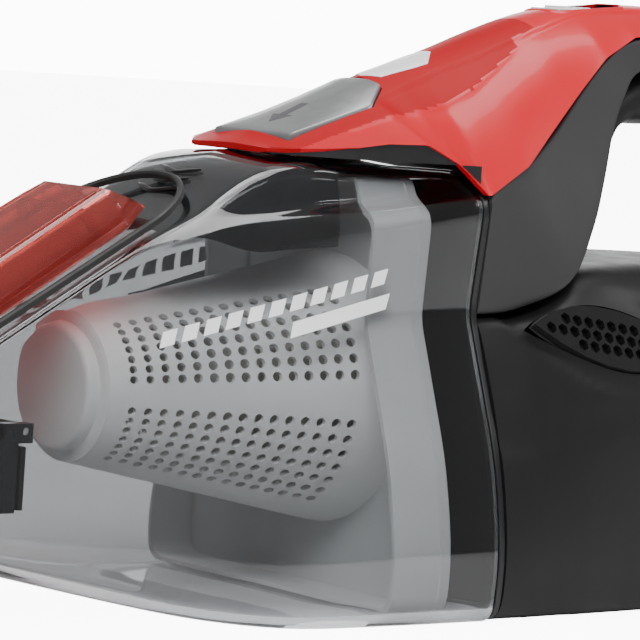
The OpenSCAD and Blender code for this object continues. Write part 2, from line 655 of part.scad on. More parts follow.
// Outline of the leaf-shaped vent, seen from the side, as two arcs that meet in points.
vent_x0 = 19;
vent_x1 = 88;
function vent_mid(x) = 86 - 10 * (x - vent_x0) / (vent_x1 - vent_x0);
function vent_edge(grow) = let (steps = 8, l = vent_x1 - vent_x0) concat(
    [for (i = [0 : steps]) let (s = i / steps, x = vent_x0 + s * l)
        [vent_x0 - grow + s * (l + 2 * grow), vent_mid(x) + (10 + grow) * sin(180 * s ^ 0.8)]],
    [for (i = [steps - 1 : -1 : 1]) let (s = i / steps, x = vent_x0 + s * l)
        [vent_x0 - grow + s * (l + 2 * grow), vent_mid(x) - (10 + grow) * sin(180 * s ^ 0.9)]]);
// Places of the screws that hold the two halves together: x and z.
screw_spots = [[60, 16], [100, 16], [186, 40], [98, 91], [160, 88]];
screw_r = 1.5;
head_r = 3;
head_y = 14.4;
module body_side(side) {
    boss_r = side > 0 ? 5.4 : 4;
    color(charcoal) difference() {
        union() {
            thick_sheet([for (x = body_stations) sided(at_x(x, body_line(x, 0)), side)],
                        [for (x = body_stations) sided(at_x(x, body_line(x, wall)), side)],
                        flip = side < 0);
            scale([1, side, 1]) for (p = screw_spots)
                rod_y(middle_gap, boss_y(p, boss_r) + 0.6, p[0], p[1], boss_r);
        }
        on_vent(side) along_y(-14, 14) polygon(vent_edge(0));
        for (p = screw_spots) {
            rod_y(-12, 30, p[0], p[1], side > 0 ? screw_r + 0.15 : screw_r);
            if (side > 0) rod_y(head_y, 80, p[0], p[1], head_r + 0.4);
        }
    }
}
// Half width of the housing's inner side at x and z.
function inner_y(x, z) = let (r = body_line(x, wall),
    hits = [for (i = [0 : len(r) - 2]) if (r[i][1] <= z && r[i + 1][1] > z)
        r[i][0] + (r[i + 1][0] - r[i][0]) * (z - r[i][1]) / (r[i + 1][1] - r[i][1])]) hits[0];
// The least half width within r of a screw's place, so that no boss breaks through the flank.
function boss_y(p, r) = min([for (dx = [-r, 0, r]) for (dz = [-r, 0, r]) inner_y(p[0] + dx, p[1] + dz)]);
module body_left() body_side(1);
module body_right() body_side(-1);

module vent_grille(side) {
    pitch = vent_cell + vent_bar;
    color(charcoal) on_vent(side) along_y(-2, 0) difference() {
        polygon(vent_edge(-0.3));
        for (i = [0 : 18]) for (j = [-4 : 4])
            let (cx = vent_x0 + 2 + (i + (j % 2 == 0 ? 0 : 0.5)) * pitch,
                 cz = vent_mid(cx) + j * pitch * sin(60))
            if (inside_vent(cx, cz))
                translate([cx, cz]) rotate(30) circle(d = vent_cell / cos(30), $fn = 6);
    }
}
function inside_vent(x, z) = let (s = (x - vent_x0) / (vent_x1 - vent_x0))
    s > 0.06 && s < 0.94 && z < vent_mid(x) + 10 * sin(180 * s ^ 0.8) - 2.8
    && z > vent_mid(x) - 10 * sin(180 * s ^ 0.9) + 2.8;
module vent_grille_left() vent_grille(1);
module vent_grille_right() vent_grille(-1);

module tail_plate() {
    color(charcoal) difference() {
        along_x(202.2, 204.6) polygon(whole(rounded(inset(body_half(202), 0.6), body_cuts)));
        rod_x(195, 215, 0, 50, 6);
        rod_x(195, 215, 0, 66, 2);
    }
}

// ---- motor, fan and electrics ----

fan_x = 16;
fan_t = 11;
motor_x = fan_x + fan_t + 9;
module impeller() {
    color([0.16, 0.16, 0.17]) difference() {
        union() {
            rod_x(fan_x + fan_t - 2, fan_x + fan_t, 0, motor_z, fan_r);
            rod_x(fan_x, fan_x + fan_t, 0, motor_z, 8);
            for (k = [0 : blades - 1])
                translate([0, 0, motor_z]) rotate([360 * k / blades, 0, 0])
                translate([0, 0, 7]) rotate([0, 0, 24]) translate([fan_x + 1.2, -0.8, 0])
                translate([0, -5.8, 0]) cube([fan_t - 2.6, 1.6, fan_r - 9]);
        }
        rod_x(0, 60, 0, motor_z, shaft_r);
    }
}
module motor_shaft() {
    color("silver") rod_x(fan_x - 1, motor_x + motor_l + 5, 0, motor_z, shaft_r);
}
module motor_can() {
    color([0.6, 0.61, 0.62]) difference() {
        union() {
            rod_x(motor_x, motor_x + motor_l, 0, motor_z, motor_r);
            rod_x(motor_x - 3, motor_x, 0, motor_z, 6.5);
            rod_x(motor_x + motor_l, motor_x + motor_l + 3, 0, motor_z, 6.5);
        }
        rod_x(motor_x - 9, motor_x + motor_l + 9, 0, motor_z, shaft_r + 0.06);
    }
}
module motor_ring() {
    color([0.05, 0.05, 0.05]) for (x = [motor_x + 5, motor_x + motor_l - 11])
        difference() {
            rod_x(x, x + 6, 0, motor_z, motor_r + 3);
            rod_x(x - 1, x + 7, 0, motor_z, motor_r);
        }
}
module motor_cradle() {
    r = motor_r + 3;
    color([0.3, 0.3, 0.31]) for (x = [motor_x + 5, motor_x + motor_l - 11])
        difference() {
            along_x(x, x + 6) polygon([[-30, 2.8], [30, 2.8], [28, motor_z - 4], [-28, motor_z - 4]]);
            rod_x(x - 1, x + 7, 0, motor_z, r);
            along_x(x - 1, x + 7) translate([-18, 8]) square([36, 10]);
        }
}
module fan_housing() {
    r = fan_r + 3;
    color([0.25, 0.25, 0.26]) difference() {
        union() {
            rod_x(bulk_x1 + 0.2, motor_x - 3.4, 0, motor_z, r);
            rod_x(motor_x - 5.6, motor_x - 3.4, 0, motor_z, r + 1);
        }
        rod_x(bulk_x1 + 2.2, motor_x - 5.6, 0, motor_z, r - 2);
        rod_x(0, 20, 0, motor_z, 22);
        rod_x(20, motor_x, 0, motor_z, 7.2);
        for (a = [0 : 45 : 315])
            translate([0, 0, motor_z]) rotate([a, 0, 0]) translate([motor_x - 8, -4, 12])
            cube([8, 8, 14]);
    }
}
cell_x = 112;
cell_gap = 20;
module battery_cells() {
    color([0.1, 0.35, 0.6]) for (y = [-1, 1]) for (z = [0, 1])
        rod_x(cell_x, cell_x + cell_l, y * cell_gap / 2, 24 + z * cell_gap, cell_r);
}
module cell_carrier() {
    color([0.3, 0.3, 0.31]) for (p = [[cell_x + 6, 2.8], [cell_x + cell_l - 10, 10.8]])
        let (x = p[0]) difference() {
            along_x(x, x + 4) translate([-22.5, p[1]]) square([45, 58 - p[1]]);
            for (y = [-1, 1]) for (z = [0, 1])
                rod_x(x - 1, x + 5, y * cell_gap / 2, 24 + z * cell_gap, cell_r + 0.1);
        }
}
module circuit_board() {
    color([0.05, 0.35, 0.15]) {
        box_from([cell_x + 4, -20, 66], [cell_x + 62, 20, 67.6]);
        box_from([cell_x + 12, -12, 67.6], [cell_x + 22, -2, 73]);
        box_from([cell_x + 30, 2, 67.6], [cell_x + 44, 14, 71]);
    }
    color([0.05, 0.05, 0.05]) translate([cell_x + 50, -8, 67.6]) cylinder(r = 4, h = 12);
}
module charge_socket() {
    color(black) difference() {
        union() {
            rod_x(192, 206.6, 0, 50, 5.8);
            rod_x(204.8, 206.6, 0, 50, 7.4);
        }
        rod_x(206.6 - socket_depth, 210, 0, 50, socket_r);
    }
}
module charge_light() {
    color([0.5, 0.9, 0.5]) rod_x(198, 205.4, 0, 66, 1.9);
}
module housing_screws() {
    color("silver") for (p = screw_spots) difference() {
        union() {
            rod_y(-11, head_y, p[0], p[1], screw_r);
            rod_y(head_y, head_y + 2.2, p[0], p[1], head_r);
        }
        for (turn = [0, 90]) translate([p[0], head_y + 1.4, p[1]]) rotate([0, turn, 0])
            translate([-1.8, 0, -0.4]) cube([3.6, 3, 0.8]);
    }
}

dirt_cup();
nozzle_trim();
recess_rim();
inlet_duct();
flap_pin();
inlet_flap();
tool_hinge_pin();
crevice_tool();
filter_flange();
filter_shroud();
pleated_filter();
cup_seal();
front_bulkhead();
top_cover();
release_button();
button_spring();
cup_latch();
latch_pin();
latch_frame();
power_switch();
switch_module();
handle_left();
handle_right();
grip_liner();
body_left();
body_right();
vent_grille_left();
vent_grille_right();
fan_housing();
impeller();
motor_shaft();
motor_can();
motor_ring();
motor_cradle();
battery_cells();
cell_carrier();
circuit_board();
charge_socket();
charge_light();
housing_screws();
tail_plate();
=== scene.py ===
"""Cordless handheld vacuum: the detailed model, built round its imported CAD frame.

Sizes are in millimetres until a mesh is made. +X runs to the tail, +Z is up, and Y = 0 is the middle plane.
"""

import json
import math

import bmesh
import bpy
from bpy.props import FloatProperty, FloatVectorProperty, IntProperty, PointerProperty
from mathutils import Matrix, Vector


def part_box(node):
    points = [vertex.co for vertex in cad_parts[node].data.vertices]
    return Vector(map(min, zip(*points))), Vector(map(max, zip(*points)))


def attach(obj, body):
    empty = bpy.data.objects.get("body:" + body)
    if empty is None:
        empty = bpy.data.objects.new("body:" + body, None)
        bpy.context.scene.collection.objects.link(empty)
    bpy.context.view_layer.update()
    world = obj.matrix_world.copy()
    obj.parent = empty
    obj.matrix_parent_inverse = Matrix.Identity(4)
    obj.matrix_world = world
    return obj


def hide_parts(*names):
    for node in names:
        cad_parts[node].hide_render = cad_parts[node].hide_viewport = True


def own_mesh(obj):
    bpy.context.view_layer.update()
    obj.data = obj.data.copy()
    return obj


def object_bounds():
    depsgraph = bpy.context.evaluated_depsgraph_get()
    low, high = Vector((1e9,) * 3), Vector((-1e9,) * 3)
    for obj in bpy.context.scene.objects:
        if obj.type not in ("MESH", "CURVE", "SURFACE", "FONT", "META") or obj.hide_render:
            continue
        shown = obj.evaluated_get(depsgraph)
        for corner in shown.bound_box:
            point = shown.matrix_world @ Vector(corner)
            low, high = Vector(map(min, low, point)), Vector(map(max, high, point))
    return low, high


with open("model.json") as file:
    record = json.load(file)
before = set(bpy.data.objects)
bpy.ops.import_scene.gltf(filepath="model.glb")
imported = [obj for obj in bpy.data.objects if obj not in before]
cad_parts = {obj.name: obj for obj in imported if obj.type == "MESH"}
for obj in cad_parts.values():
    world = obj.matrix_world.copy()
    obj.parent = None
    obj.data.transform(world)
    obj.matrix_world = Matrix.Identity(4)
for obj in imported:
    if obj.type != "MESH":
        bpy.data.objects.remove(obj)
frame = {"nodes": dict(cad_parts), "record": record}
cad_low, cad_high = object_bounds()

bl_info = {
    "name": "Handheld Vacuum",
    "version": (1, 0, 0),
    "blender": (4, 5, 0),
    "location": "View3D > Sidebar > Vacuum",
    "description": "Builds a cordless handheld vacuum with a clear dirt cup",
    "category": "Add Mesh",
}

MM = 0.001


def node_low(node):
    """Lowest corner of a frame node in millimetres."""
    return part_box(node)[0] / MM


def node_high(node):
    """Highest corner of a frame node in millimetres."""
    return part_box(node)[1] / MM


NOSE_X = node_low("nozzle_trim").x
SEAM_X = node_low("cup_seal").x
HOUSING_X = node_high("front_bulkhead").x + 0.1
AXIS_Z = (node_low("filter_shroud").z + node_high("filter_shroud").z) / 2


# ---- settings ----


class CupSettings(bpy.types.PropertyGroup):
    """Sizes and colour of the clear cup and its printed marks."""

    wall: FloatProperty(name="Wall", description="Wall thickness in mm", default=2.2, min=1.2, max=3.0)
    tint: FloatVectorProperty(name="Tint", description="Colour of the smoked plastic", subtype="COLOR",
                              default=(0.50, 0.51, 0.52), min=0.0, max=1.0)
    print_colour: FloatVectorProperty(name="Print", description="Colour of the printed marks",
                                      subtype="COLOR", default=(0.85, 0.85, 0.85), min=0.0, max=1.0)


class FilterSettings(bpy.types.PropertyGroup):
    """Perforations and colour of the filter shroud."""

    hole_radius: FloatProperty(name="Hole radius", description="Radius of one perforation in mm",
                               default=1.45, min=0.8, max=1.8)
    rings: IntProperty(name="Rings", description="Cells along the cone", default=19, min=10, max=24)
    spokes: IntProperty(name="Spokes", description="Cells round the cone", default=48, min=32, max=60)
    colour: FloatVectorProperty(name="Colour", description="Colour of the shroud", subtype="COLOR",
                                default=(0.72, 0.72, 0.71), min=0.0, max=1.0)


class CoverSettings(bpy.types.PropertyGroup):
    """Colour and creases of the red top cover."""

    colour: FloatVectorProperty(name="Colour", description="Colour of the cover", subtype="COLOR",
                                default=(0.50, 0.0015, 0.009), min=0.0, max=1.0)
    ridge: FloatProperty(name="Ridge", description="Height of the raised middle in mm", default=0.9,
                         min=0.0, max=2.0)


class HousingSettings(bpy.types.PropertyGroup):
    """Colours of the housing, the handle's panels and the grip."""

    body: FloatVectorProperty(name="Body", description="Colour of the lower body", subtype="COLOR",
                              default=(0.0085, 0.0085, 0.009), min=0.0, max=1.0)
    panel: FloatVectorProperty(name="Panel", description="Colour of the handle's panels",
                               subtype="COLOR", default=(0.032, 0.032, 0.0325), min=0.0, max=1.0)
    grip: FloatVectorProperty(name="Grip", description="Colour of the soft grip", subtype="COLOR",
                              default=(0.003, 0.003, 0.0032), min=0.0, max=1.0)


class ToolSettings(bpy.types.PropertyGroup):
    """Wall and colour of the crevice tool."""

    wall: FloatProperty(name="Wall", description="Wall thickness in mm", default=1.8, min=1.0, max=2.5)
    colour: FloatVectorProperty(name="Colour", description="Colour of the red plastic",
                                subtype="COLOR", default=(0.52, 0.13, 0.11), min=0.0, max=1.0)


class StageSettings(bpy.types.PropertyGroup):
    """Floor, lights and camera."""

    floor: FloatVectorProperty(name="Floor", description="Colour of the floor", subtype="COLOR",
                               default=(0.86, 0.86, 0.86), min=0.0, max=1.0)
    azimuth: FloatProperty(name="Azimuth", description="Direction of view", subtype="ANGLE",
                           default=math.radians(39.606))
    elevation: FloatProperty(name="Elevation", description="Height of view", subtype="ANGLE",
                             default=math.radians(4.334))
    roll: FloatProperty(name="Roll", description="Roll of the camera", subtype="ANGLE",
                        default=math.radians(4.079))
    distance: FloatProperty(name="Distance", description="Distance to the point looked at",
                            subtype="DISTANCE", unit="LENGTH", default=1.0763)
    lens: FloatProperty(name="Lens", description="Focal length in mm", default=205.6)


SETTINGS = {
    "vacuum_cup": CupSettings,
    "vacuum_filter": FilterSettings,
    "vacuum_cover": CoverSettings,
    "vacuum_housing": HousingSettings,
    "vacuum_tool": ToolSettings,
    "vacuum_stage": StageSettings,
}


# ---- curves through a few control rows ----


def hermite(p0, p1, m0, m1, s):
    """Point at s on the cubic from p0 to p1 with end slopes m0 and m1."""
    a = (2 * s**3 - 3 * s**2 + 1) * p0 + (s**3 - 2 * s**2 + s) * m0
    return a + (3 * s**2 - 2 * s**3) * p1 + (s**3 - s**2) * m1


def slope(rows, i, c):
    """Slope of column c at row i."""
    a, b = max(i - 1, 0), min(i + 1, len(rows) - 1)
    return (rows[b][c] - rows[a][c]) / (rows[b][0] - rows[a][0])


def smooth_row(rows, x):
    """All columns after the first, smoothly at x."""
    i = 0
    while i < len(rows) - 2 and x >= rows[i + 1][0]:
        i += 1
    h = rows[i + 1][0] - rows[i][0]
    s = (x - rows[i][0]) / h
    return [hermite(rows[i][c], rows[i + 1][c], slope(rows, i, c) * h, slope(rows, i + 1, c) * h, s)
            for c in range(1, len(rows[0]))]


def straight(rows, x, c):
    """Column c at x, along straight lines."""
    i = 0
    while i < len(rows) - 2 and x >= rows[i + 1][0]:
        i += 1
    s = (x - rows[i][0]) / (rows[i + 1][0] - rows[i][0])
    return rows[i][c] + (rows[i + 1][c] - rows[i][c]) * min(max(s, 0.0), 1.0)


def path_row(rows, t):
    """All columns at place t along the list of rows, smoothly."""
    numbered = [[i, *r] for i, r in enumerate(rows)]
    return smooth_row(numbered, t)


def spread(a, b, n):
    """n + 1 evenly spaced values from a to b."""
    return [a + (b - a) * i / n for i in range(n + 1)]


def unit(v):
    """A vector's direction."""
    return v / max(v.length, 1e-9)


def inset(half, d):
    """A half outline moved inward by d, with its ends kept on the middle plane."""
    made = [half[0] + Vector((0, d))]
    for a, b, c in zip(half, half[1:], half[2:]):
        u, v = unit(b - a), unit(c - b)
        n, m = Vector((-u.y, u.x)), Vector((-v.y, v.x))
        made.append(b + d * (n + m) / (1 + n.dot(m)))
    made.append(half[-1] - Vector((0, d)))
    return made


def rounded(half, cuts, steps=7):
    """A half outline with its inner corners rounded; cuts holds the length cut at each corner."""
    made = [half[0]]
    for a, b, c, cut in zip(half, half[1:], half[2:], cuts):
        p = b + unit(a - b) * min(cut, 0.45 * (a - b).length)
        q = b + unit(c - b) * min(cut, 0.45 * (c - b).length)
        for s in spread(0, 1, steps):
            made.append((1 - s) ** 2 * p + 2 * s * (1 - s) * b + s**2 * q)
    made.append(half[-1])
    return made


def whole(half):
    """The closed outline of a half outline."""
    return half + [Vector((-p.x, p.y)) for p in reversed(half[1:-1])]


def circle(n, start=0.0):
    """The cosine and sine of n even steps round a circle."""
    turns = [start + 2 * math.pi * k / n for k in range(n)]
    return [(math.cos(a), math.sin(a)) for a in turns]


def ease(s):
    """Smooth step from 0 to 1."""
    s = min(max(s, 0.0), 1.0)
    return s * s * (3 - 2 * s)


# ---- meshes ----


def new_object(name, points, faces, sharp=32.0):
    """A smooth-shaded object from points in millimetres."""
    mesh = bpy.data.meshes.new(name)
    mesh.from_pydata([Vector(p) * MM for p in points], [], faces)
    return finish_mesh(name, mesh, sharp)


def finish_mesh(name, mesh, sharp):
    """Turns normals outward, shades smooth up to an angle, and links an object."""
    b = bmesh.new()
    b.from_mesh(mesh)
    bmesh.ops.remove_doubles(b, verts=b.verts, dist=1e-6)
    bmesh.ops.recalc_face_normals(b, faces=b.faces)
    if b.calc_volume(signed=True) < 0:
        bmesh.ops.reverse_faces(b, faces=b.faces)
    b.to_mesh(mesh)
    b.free()
    mesh.shade_smooth()
    mesh.set_sharp_from_angle(angle=math.radians(sharp))
    made = bpy.data.objects.new(name, mesh)
    bpy.context.scene.collection.objects.link(made)
    return made


def grid_faces(rows, cols, closed, start=0):
    """Quads of a grid of points, whose rows join up when closed."""
    last = cols if closed else cols - 1
    return [(start + i * cols + j, start + (i + 1) * cols + j, start + (i + 1) * cols + (j + 1) % cols,
             start + i * cols + (j + 1) % cols) for i in range(rows - 1) for j in range(last)]


def shell(name, outer, inner, closed, sharp=32.0):
    """A solid sheet between two grids of points."""
    rows, cols = len(outer), len(outer[0])
    n = rows * cols
    faces = grid_faces(rows, cols, closed) + grid_faces(rows, cols, closed, n)
    last = cols if closed else cols - 1
    for i in (0, (rows - 1) * cols):
        faces += [(i + j, i + (j + 1) % cols, n + i + (j + 1) % cols, n + i + j) for j in range(last)]
    if not closed:
        for j in (0, cols - 1):
            faces += [(i * cols + j, (i + 1) * cols + j, n + (i + 1) * cols + j, n + i * cols + j)
                      for i in range(rows - 1)]
    points = [p for row in outer for p in row] + [p for row in inner for p in row]
    return new_object(name, points, faces, sharp)


def loft(name, rings, sharp=32.0, caps=True):
    """A solid through rings of points."""
    rows, cols = len(rings), len(rings[0])
    faces = grid_faces(rows, cols, True)
    if caps:
        faces += [tuple(range(cols)), tuple((rows - 1) * cols + j for j in range(cols))]
    return new_object(name, [p for r in rings for p in r], faces, sharp)


def strip(name, path, width, height, up):
    """A thin raised bar along a path of points; up gives the outward direction at each point."""
    rings = []
    for i, p in enumerate(path):
        p = Vector(p)
        along = unit(Vector(path[min(i + 1, len(path) - 1)]) - Vector(path[max(i - 1, 0)]))
        out = unit(Vector(up(p)))
        side = unit(along.cross(out))
        out = side.cross(along)
        taper = min(1.0, 0.35 + 0.65 * min(i, len(path) - 1 - i) / 2)
        w, h, sunk = width / 2 * taper, height * taper, 0.3
        section = ((-w, -sunk), (-0.8 * w, 0.75 * h), (0, h), (0.8 * w, 0.75 * h), (w, -sunk))
        rings.append([p + side * a + out * b for a, b in section])
    return loft(name, rings, 30)


def edged(node, material, width, segments=2, sharp=35.0):
    """Adds a copy of a frame node's shape with its edges rounded, which stands for that node."""
    mesh = frame["nodes"][node].data.copy()
    mesh.materials.clear()
    b = bmesh.new()
    b.from_mesh(mesh)
    bmesh.ops.remove_doubles(b, verts=b.verts, dist=1e-6)
    bmesh.ops.dissolve_limit(b, angle_limit=math.radians(1.0), verts=b.verts, edges=b.edges)
    b.to_mesh(mesh)
    b.free()
    made = finish_mesh(node + "_detail", mesh, sharp)
    bevel = made.modifiers.new("rounding", "BEVEL")
    bevel.width = width * MM
    bevel.segments = segments
    bevel.limit_method = "ANGLE"
    bevel.angle_limit = math.radians(sharp)
    bevel.use_clamp_overlap = True
    bevel.harden_normals = False
    apply_modifiers(made)
    record = frame["record"]
    body = next(b for b, nodes in record["behaviour"]["bodies"].items() if node in nodes)
    slot = next(p["material_slot"] for p in record["subparts"] if p["node"] == node)
    fit(made, material, body, slot, node)


def apply_modifiers(made, sharp=None):
    """Bakes an object's modifiers into its mesh."""
    graph = bpy.context.evaluated_depsgraph_get()
    mesh = bpy.data.meshes.new_from_object(made.evaluated_get(graph))
    made.modifiers.clear()
    made.data = mesh
    if sharp:
        mesh.shade_smooth()
        mesh.set_sharp_from_angle(angle=math.radians(sharp))
    return made


def cut(made, cutter, sharp=32.0):
    """Takes the cutter away from an object and deletes the cutter."""
    boolean = made.modifiers.new("cut", "BOOLEAN")
    boolean.object = cutter
    boolean.operation = "DIFFERENCE"
    boolean.solver = "EXACT"
    apply_modifiers(made, sharp)
    bpy.data.objects.remove(cutter)
    return made


def prism(name, outline, low, high, place):
    """A solid over an outline; place turns (u, v, depth) into a point."""
    return loft(name, [[place(u, v, d) for u, v in outline] for d in (low, high)])


def fit(made, material, body, slot, *stands_for):
    """Gives a piece its finish, its body and the nodes that it stands for; its slot is not used."""
    for vertex in made.data.vertices:
        vertex.co = Vector(min(max(c, a), b) for c, a, b in zip(vertex.co, cad_low, cad_high))
    made.data.materials.clear()
    made.data.materials.append(material)
    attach(made, body)
    if stands_for:
        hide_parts(*stands_for)
    return made


# ---- finishes ----


SUBSURFACE_REACH = (0.004, 0.004, 0.004)
GRAIN_HEIGHT = 0.0002


def pattern(tree, scale, detail, stretch):
    """A noise pattern fixed to the object, scale in cycles per metre."""
    place = tree.nodes.new("ShaderNodeTexCoord")
    mapping = tree.nodes.new("ShaderNodeMapping")
    mapping.inputs["Scale"].default_value = stretch
    texture = tree.nodes.new("ShaderNodeTexNoise")
    texture.inputs["Scale"].default_value = scale
    texture.inputs["Detail"].default_value = detail
    tree.links.new(place.outputs["Object"], mapping.inputs["Vector"])
    tree.links.new(mapping.outputs["Vector"], texture.inputs["Vector"])
    return texture.outputs[0]


def remap(tree, source, low, high):
    """The middle of a pattern's values, spread from low to high."""
    spreader = tree.nodes.new("ShaderNodeMapRange")
    for socket, value in (("From Min", 0.35), ("From Max", 0.65), ("To Min", low), ("To Max", high)):
        spreader.inputs[socket].default_value = value
    tree.links.new(source, spreader.inputs["Value"])
    return spreader.outputs["Result"]


def varied(tree, colour, amount, source):
    """A colour that a pattern makes slightly darker and lighter."""
    ramp = tree.nodes.new("ShaderNodeValToRGB")
    for stop, place, share in zip(ramp.color_ramp.elements, (0.3, 0.7), (1 - amount, 1 + amount)):
        stop.position = place
        stop.color = (*[min(c * share, 1) for c in colour], 1)
    tree.links.new(source, ramp.inputs["Fac"])
    return ramp.outputs["Color"]


def finish(name, colour, rough=0.4, rough_spread=0.08, grain=900.0, bump=0.05, mottle=0.06, coat=0.0,
           metal=0.0, transmission=0.0, ior=1.5, specular=0.5, wear=60.0, stretch=(1, 1, 1),
           coat_rough=0.05, sheen=0.0, subsurface=0.0, lamp_pass=None):
    """A moulded or worked finish: mottled colour, handled gloss, fine grain and faint scuffs."""
    if name in bpy.data.materials:
        return bpy.data.materials[name]
    made = bpy.data.materials.new(name)
    made.use_nodes = True
    tree = made.node_tree
    shader = tree.nodes["Principled BSDF"]
    for socket, value in (("Metallic", metal), ("IOR", ior), ("Specular IOR Level", specular),
                          ("Coat Weight", coat), ("Coat Roughness", coat_rough),
                          ("Transmission Weight", transmission), ("Sheen Weight", sheen),
                          ("Subsurface Weight", subsurface), ("Subsurface Radius", SUBSURFACE_REACH)):
        shader.inputs[socket].default_value = value
    broad = pattern(tree, wear, 4.0, stretch)
    tree.links.new(varied(tree, colour, mottle, broad), shader.inputs["Base Color"])
    scuffs = pattern(tree, wear * 3.1, 6.0, tuple(s * k for s, k in zip(stretch, (1, 1, 0.3))))
    tree.links.new(remap(tree, scuffs, max(rough - rough_spread, 0.0), rough + rough_spread),
                   shader.inputs["Roughness"])
    if bump > 0:
        grains = pattern(tree, grain, 2.0, stretch)
        raised = tree.nodes.new("ShaderNodeBump")
        raised.inputs["Strength"].default_value = bump
        raised.inputs["Distance"].default_value = GRAIN_HEIGHT
        tree.links.new(grains, raised.inputs["Height"])
        tree.links.new(raised.outputs["Normal"], shader.inputs["Normal"])
    if lamp_pass:
        let_lamps_through(tree, shader, lamp_pass)
    return made


def mix_by_ray(tree, ray, usual, special, output):
    """Shows the special shader to one kind of ray, and the usual one to all others."""
    paths = tree.nodes.new("ShaderNodeLightPath")
    mixed = tree.nodes.new("ShaderNodeMixShader")
    tree.links.new(paths.outputs[ray], mixed.inputs["Fac"])
    tree.links.new(usual.outputs[0], mixed.inputs[1])
    tree.links.new(special.outputs[0], mixed.inputs[2])
    tree.links.new(mixed.outputs["Shader"], tree.nodes[output].inputs["Surface"])


def let_lamps_through(tree, shader, colour):
    """Lets light from the lamps reach what lies behind a clear wall, tinted by it."""
    clear = tree.nodes.new("ShaderNodeBsdfTransparent")
    clear.inputs["Color"].default_value = (*colour, 1)
    mix_by_ray(tree, "Is Shadow Ray", shader, clear, "Material Output")


def smoked_clear():
    s = bpy.context.scene.vacuum_cup
    return finish("smoked clear polycarbonate", s.tint, rough=0.03, rough_spread=0.012, bump=0,
                  mottle=0.015, transmission=1.0, ior=1.45, wear=12, lamp_pass=(0.92, 0.92, 0.93))


def smoke_dark():
    return finish("dark smoked liner", (0.03, 0.03, 0.032), rough=0.2, rough_spread=0.04, bump=0.02,
                  grain=500, transmission=0.5, ior=1.4, lamp_pass=(0.2, 0.2, 0.21))


def red_clear():
    s = bpy.context.scene.vacuum_tool
    return finish("translucent red plastic", s.colour, rough=0.08, rough_spread=0.03, bump=0,
                  mottle=0.04, transmission=0.88, ior=1.45, wear=20, lamp_pass=(0.8, 0.35, 0.3))


def red_gloss():
    s = bpy.context.scene.vacuum_cover
    return finish("gloss red cover", s.colour, rough=0.34, rough_spread=0.03, bump=0,
                  mottle=0.02, coat=0.16, coat_rough=0.08, wear=20, specular=0.25)


def red_satin_shaded():
    """The cover's red inside its creases: less polished, and darker as painted shade."""
    return finish("satin red cover with painted shade", (0.33, 0.0006, 0.004), rough=0.5, rough_spread=0.03, bump=0,
                  mottle=0.02, wear=20, specular=0.12)


def charcoal():
    s = bpy.context.scene.vacuum_housing
    return finish("charcoal moulded plastic", s.body, rough=0.46, rough_spread=0.04, bump=0.06,
                  grain=1800, mottle=0.05, wear=35, specular=0.2)


def panel_grey():
    s = bpy.context.scene.vacuum_housing
    return finish("dark grey panel plastic", s.panel, rough=0.52, rough_spread=0.04, bump=0.06,
                  grain=2000, mottle=0.03, wear=30, specular=0.2)


def grip_black():
    s = bpy.context.scene.vacuum_housing
    return finish("soft black grip", s.grip, rough=0.55, rough_spread=0.08, bump=0.12, grain=2600,
                  mottle=0.08, sheen=0.03, specular=0.25)


def black_plastic():
    return finish("black moulded plastic", (0.009, 0.009, 0.010), rough=0.35, rough_spread=0.06,
                  bump=0.05, grain=1500, specular=0.35)


def black_rubber():
    return finish("black sealing rubber", (0.006, 0.006, 0.006), rough=0.6, rough_spread=0.1, bump=0.1,
                  grain=1400)


def vent_black():
    return finish("vent plastic", (0.0085, 0.0085, 0.009), rough=0.6, rough_spread=0.05, bump=0.05,
                  grain=1600, specular=0.08)


def shroud_grey():
    s = bpy.context.scene.vacuum_filter
    return finish("pale grey shroud plastic", s.colour, rough=0.40, rough_spread=0.05, bump=0.03,
                  grain=900, mottle=0.03, subsurface=0.1)


def flange_clear():
    return finish("frosted flange plastic", (0.60, 0.61, 0.61), rough=0.36, rough_spread=0.03,
                  bump=0.02, grain=900, mottle=0.02, transmission=0.35, ior=1.4,
                  lamp_pass=(0.6, 0.6, 0.6))


def silver_paint():
    return finish("silver painted button", (0.2, 0.203, 0.207), rough=0.36, rough_spread=0.04,
                  bump=0.04, grain=3200, metal=0.5, coat=0.3, coat_rough=0.15)


def switch_white():
    return finish("pale switch plastic", (0.74, 0.74, 0.74), rough=0.3, rough_spread=0.06, bump=0.04)


def filter_paper():
    return finish("pleated filter paper", (0.74, 0.72, 0.66), rough=0.9, rough_spread=0.05, bump=0.3,
                  grain=2500, mottle=0.10, stretch=(0.3, 1, 1))


def steel():
    return finish("bright steel", (0.55, 0.55, 0.56), rough=0.25, rough_spread=0.08, bump=0.05,
                  grain=1800, metal=1.0, stretch=(1, 0.1, 1))


def zinc_steel():
    return finish("zinc plated steel", (0.42, 0.43, 0.45), rough=0.38, rough_spread=0.1, bump=0.06,
                  grain=500, metal=1.0, mottle=0.14)


def dark_nylon():
    return finish("fibre filled nylon", (0.04, 0.04, 0.044), rough=0.5, rough_spread=0.1, bump=0.12,
                  grain=1300, mottle=0.12)


def cell_wrap():
    return finish("blue shrink wrap", (0.03, 0.12, 0.30), rough=0.28, rough_spread=0.08, bump=0.05,
                  grain=400, coat=0.2)


def board_green():
    return finish("green solder mask", (0.012, 0.12, 0.04), rough=0.3, rough_spread=0.1, bump=0.08,
                  grain=900, mottle=0.15)


def light_pipe():
    return finish("frosted light pipe", (0.65, 0.85, 0.66), rough=0.3, rough_spread=0.08, bump=0.03,
                  transmission=0.6)


def print_white():
    s = bpy.context.scene.vacuum_cup
    return finish("white print", s.print_colour, rough=0.5, rough_spread=0.05, bump=0.03, grain=2000,
                  mottle=0.03)


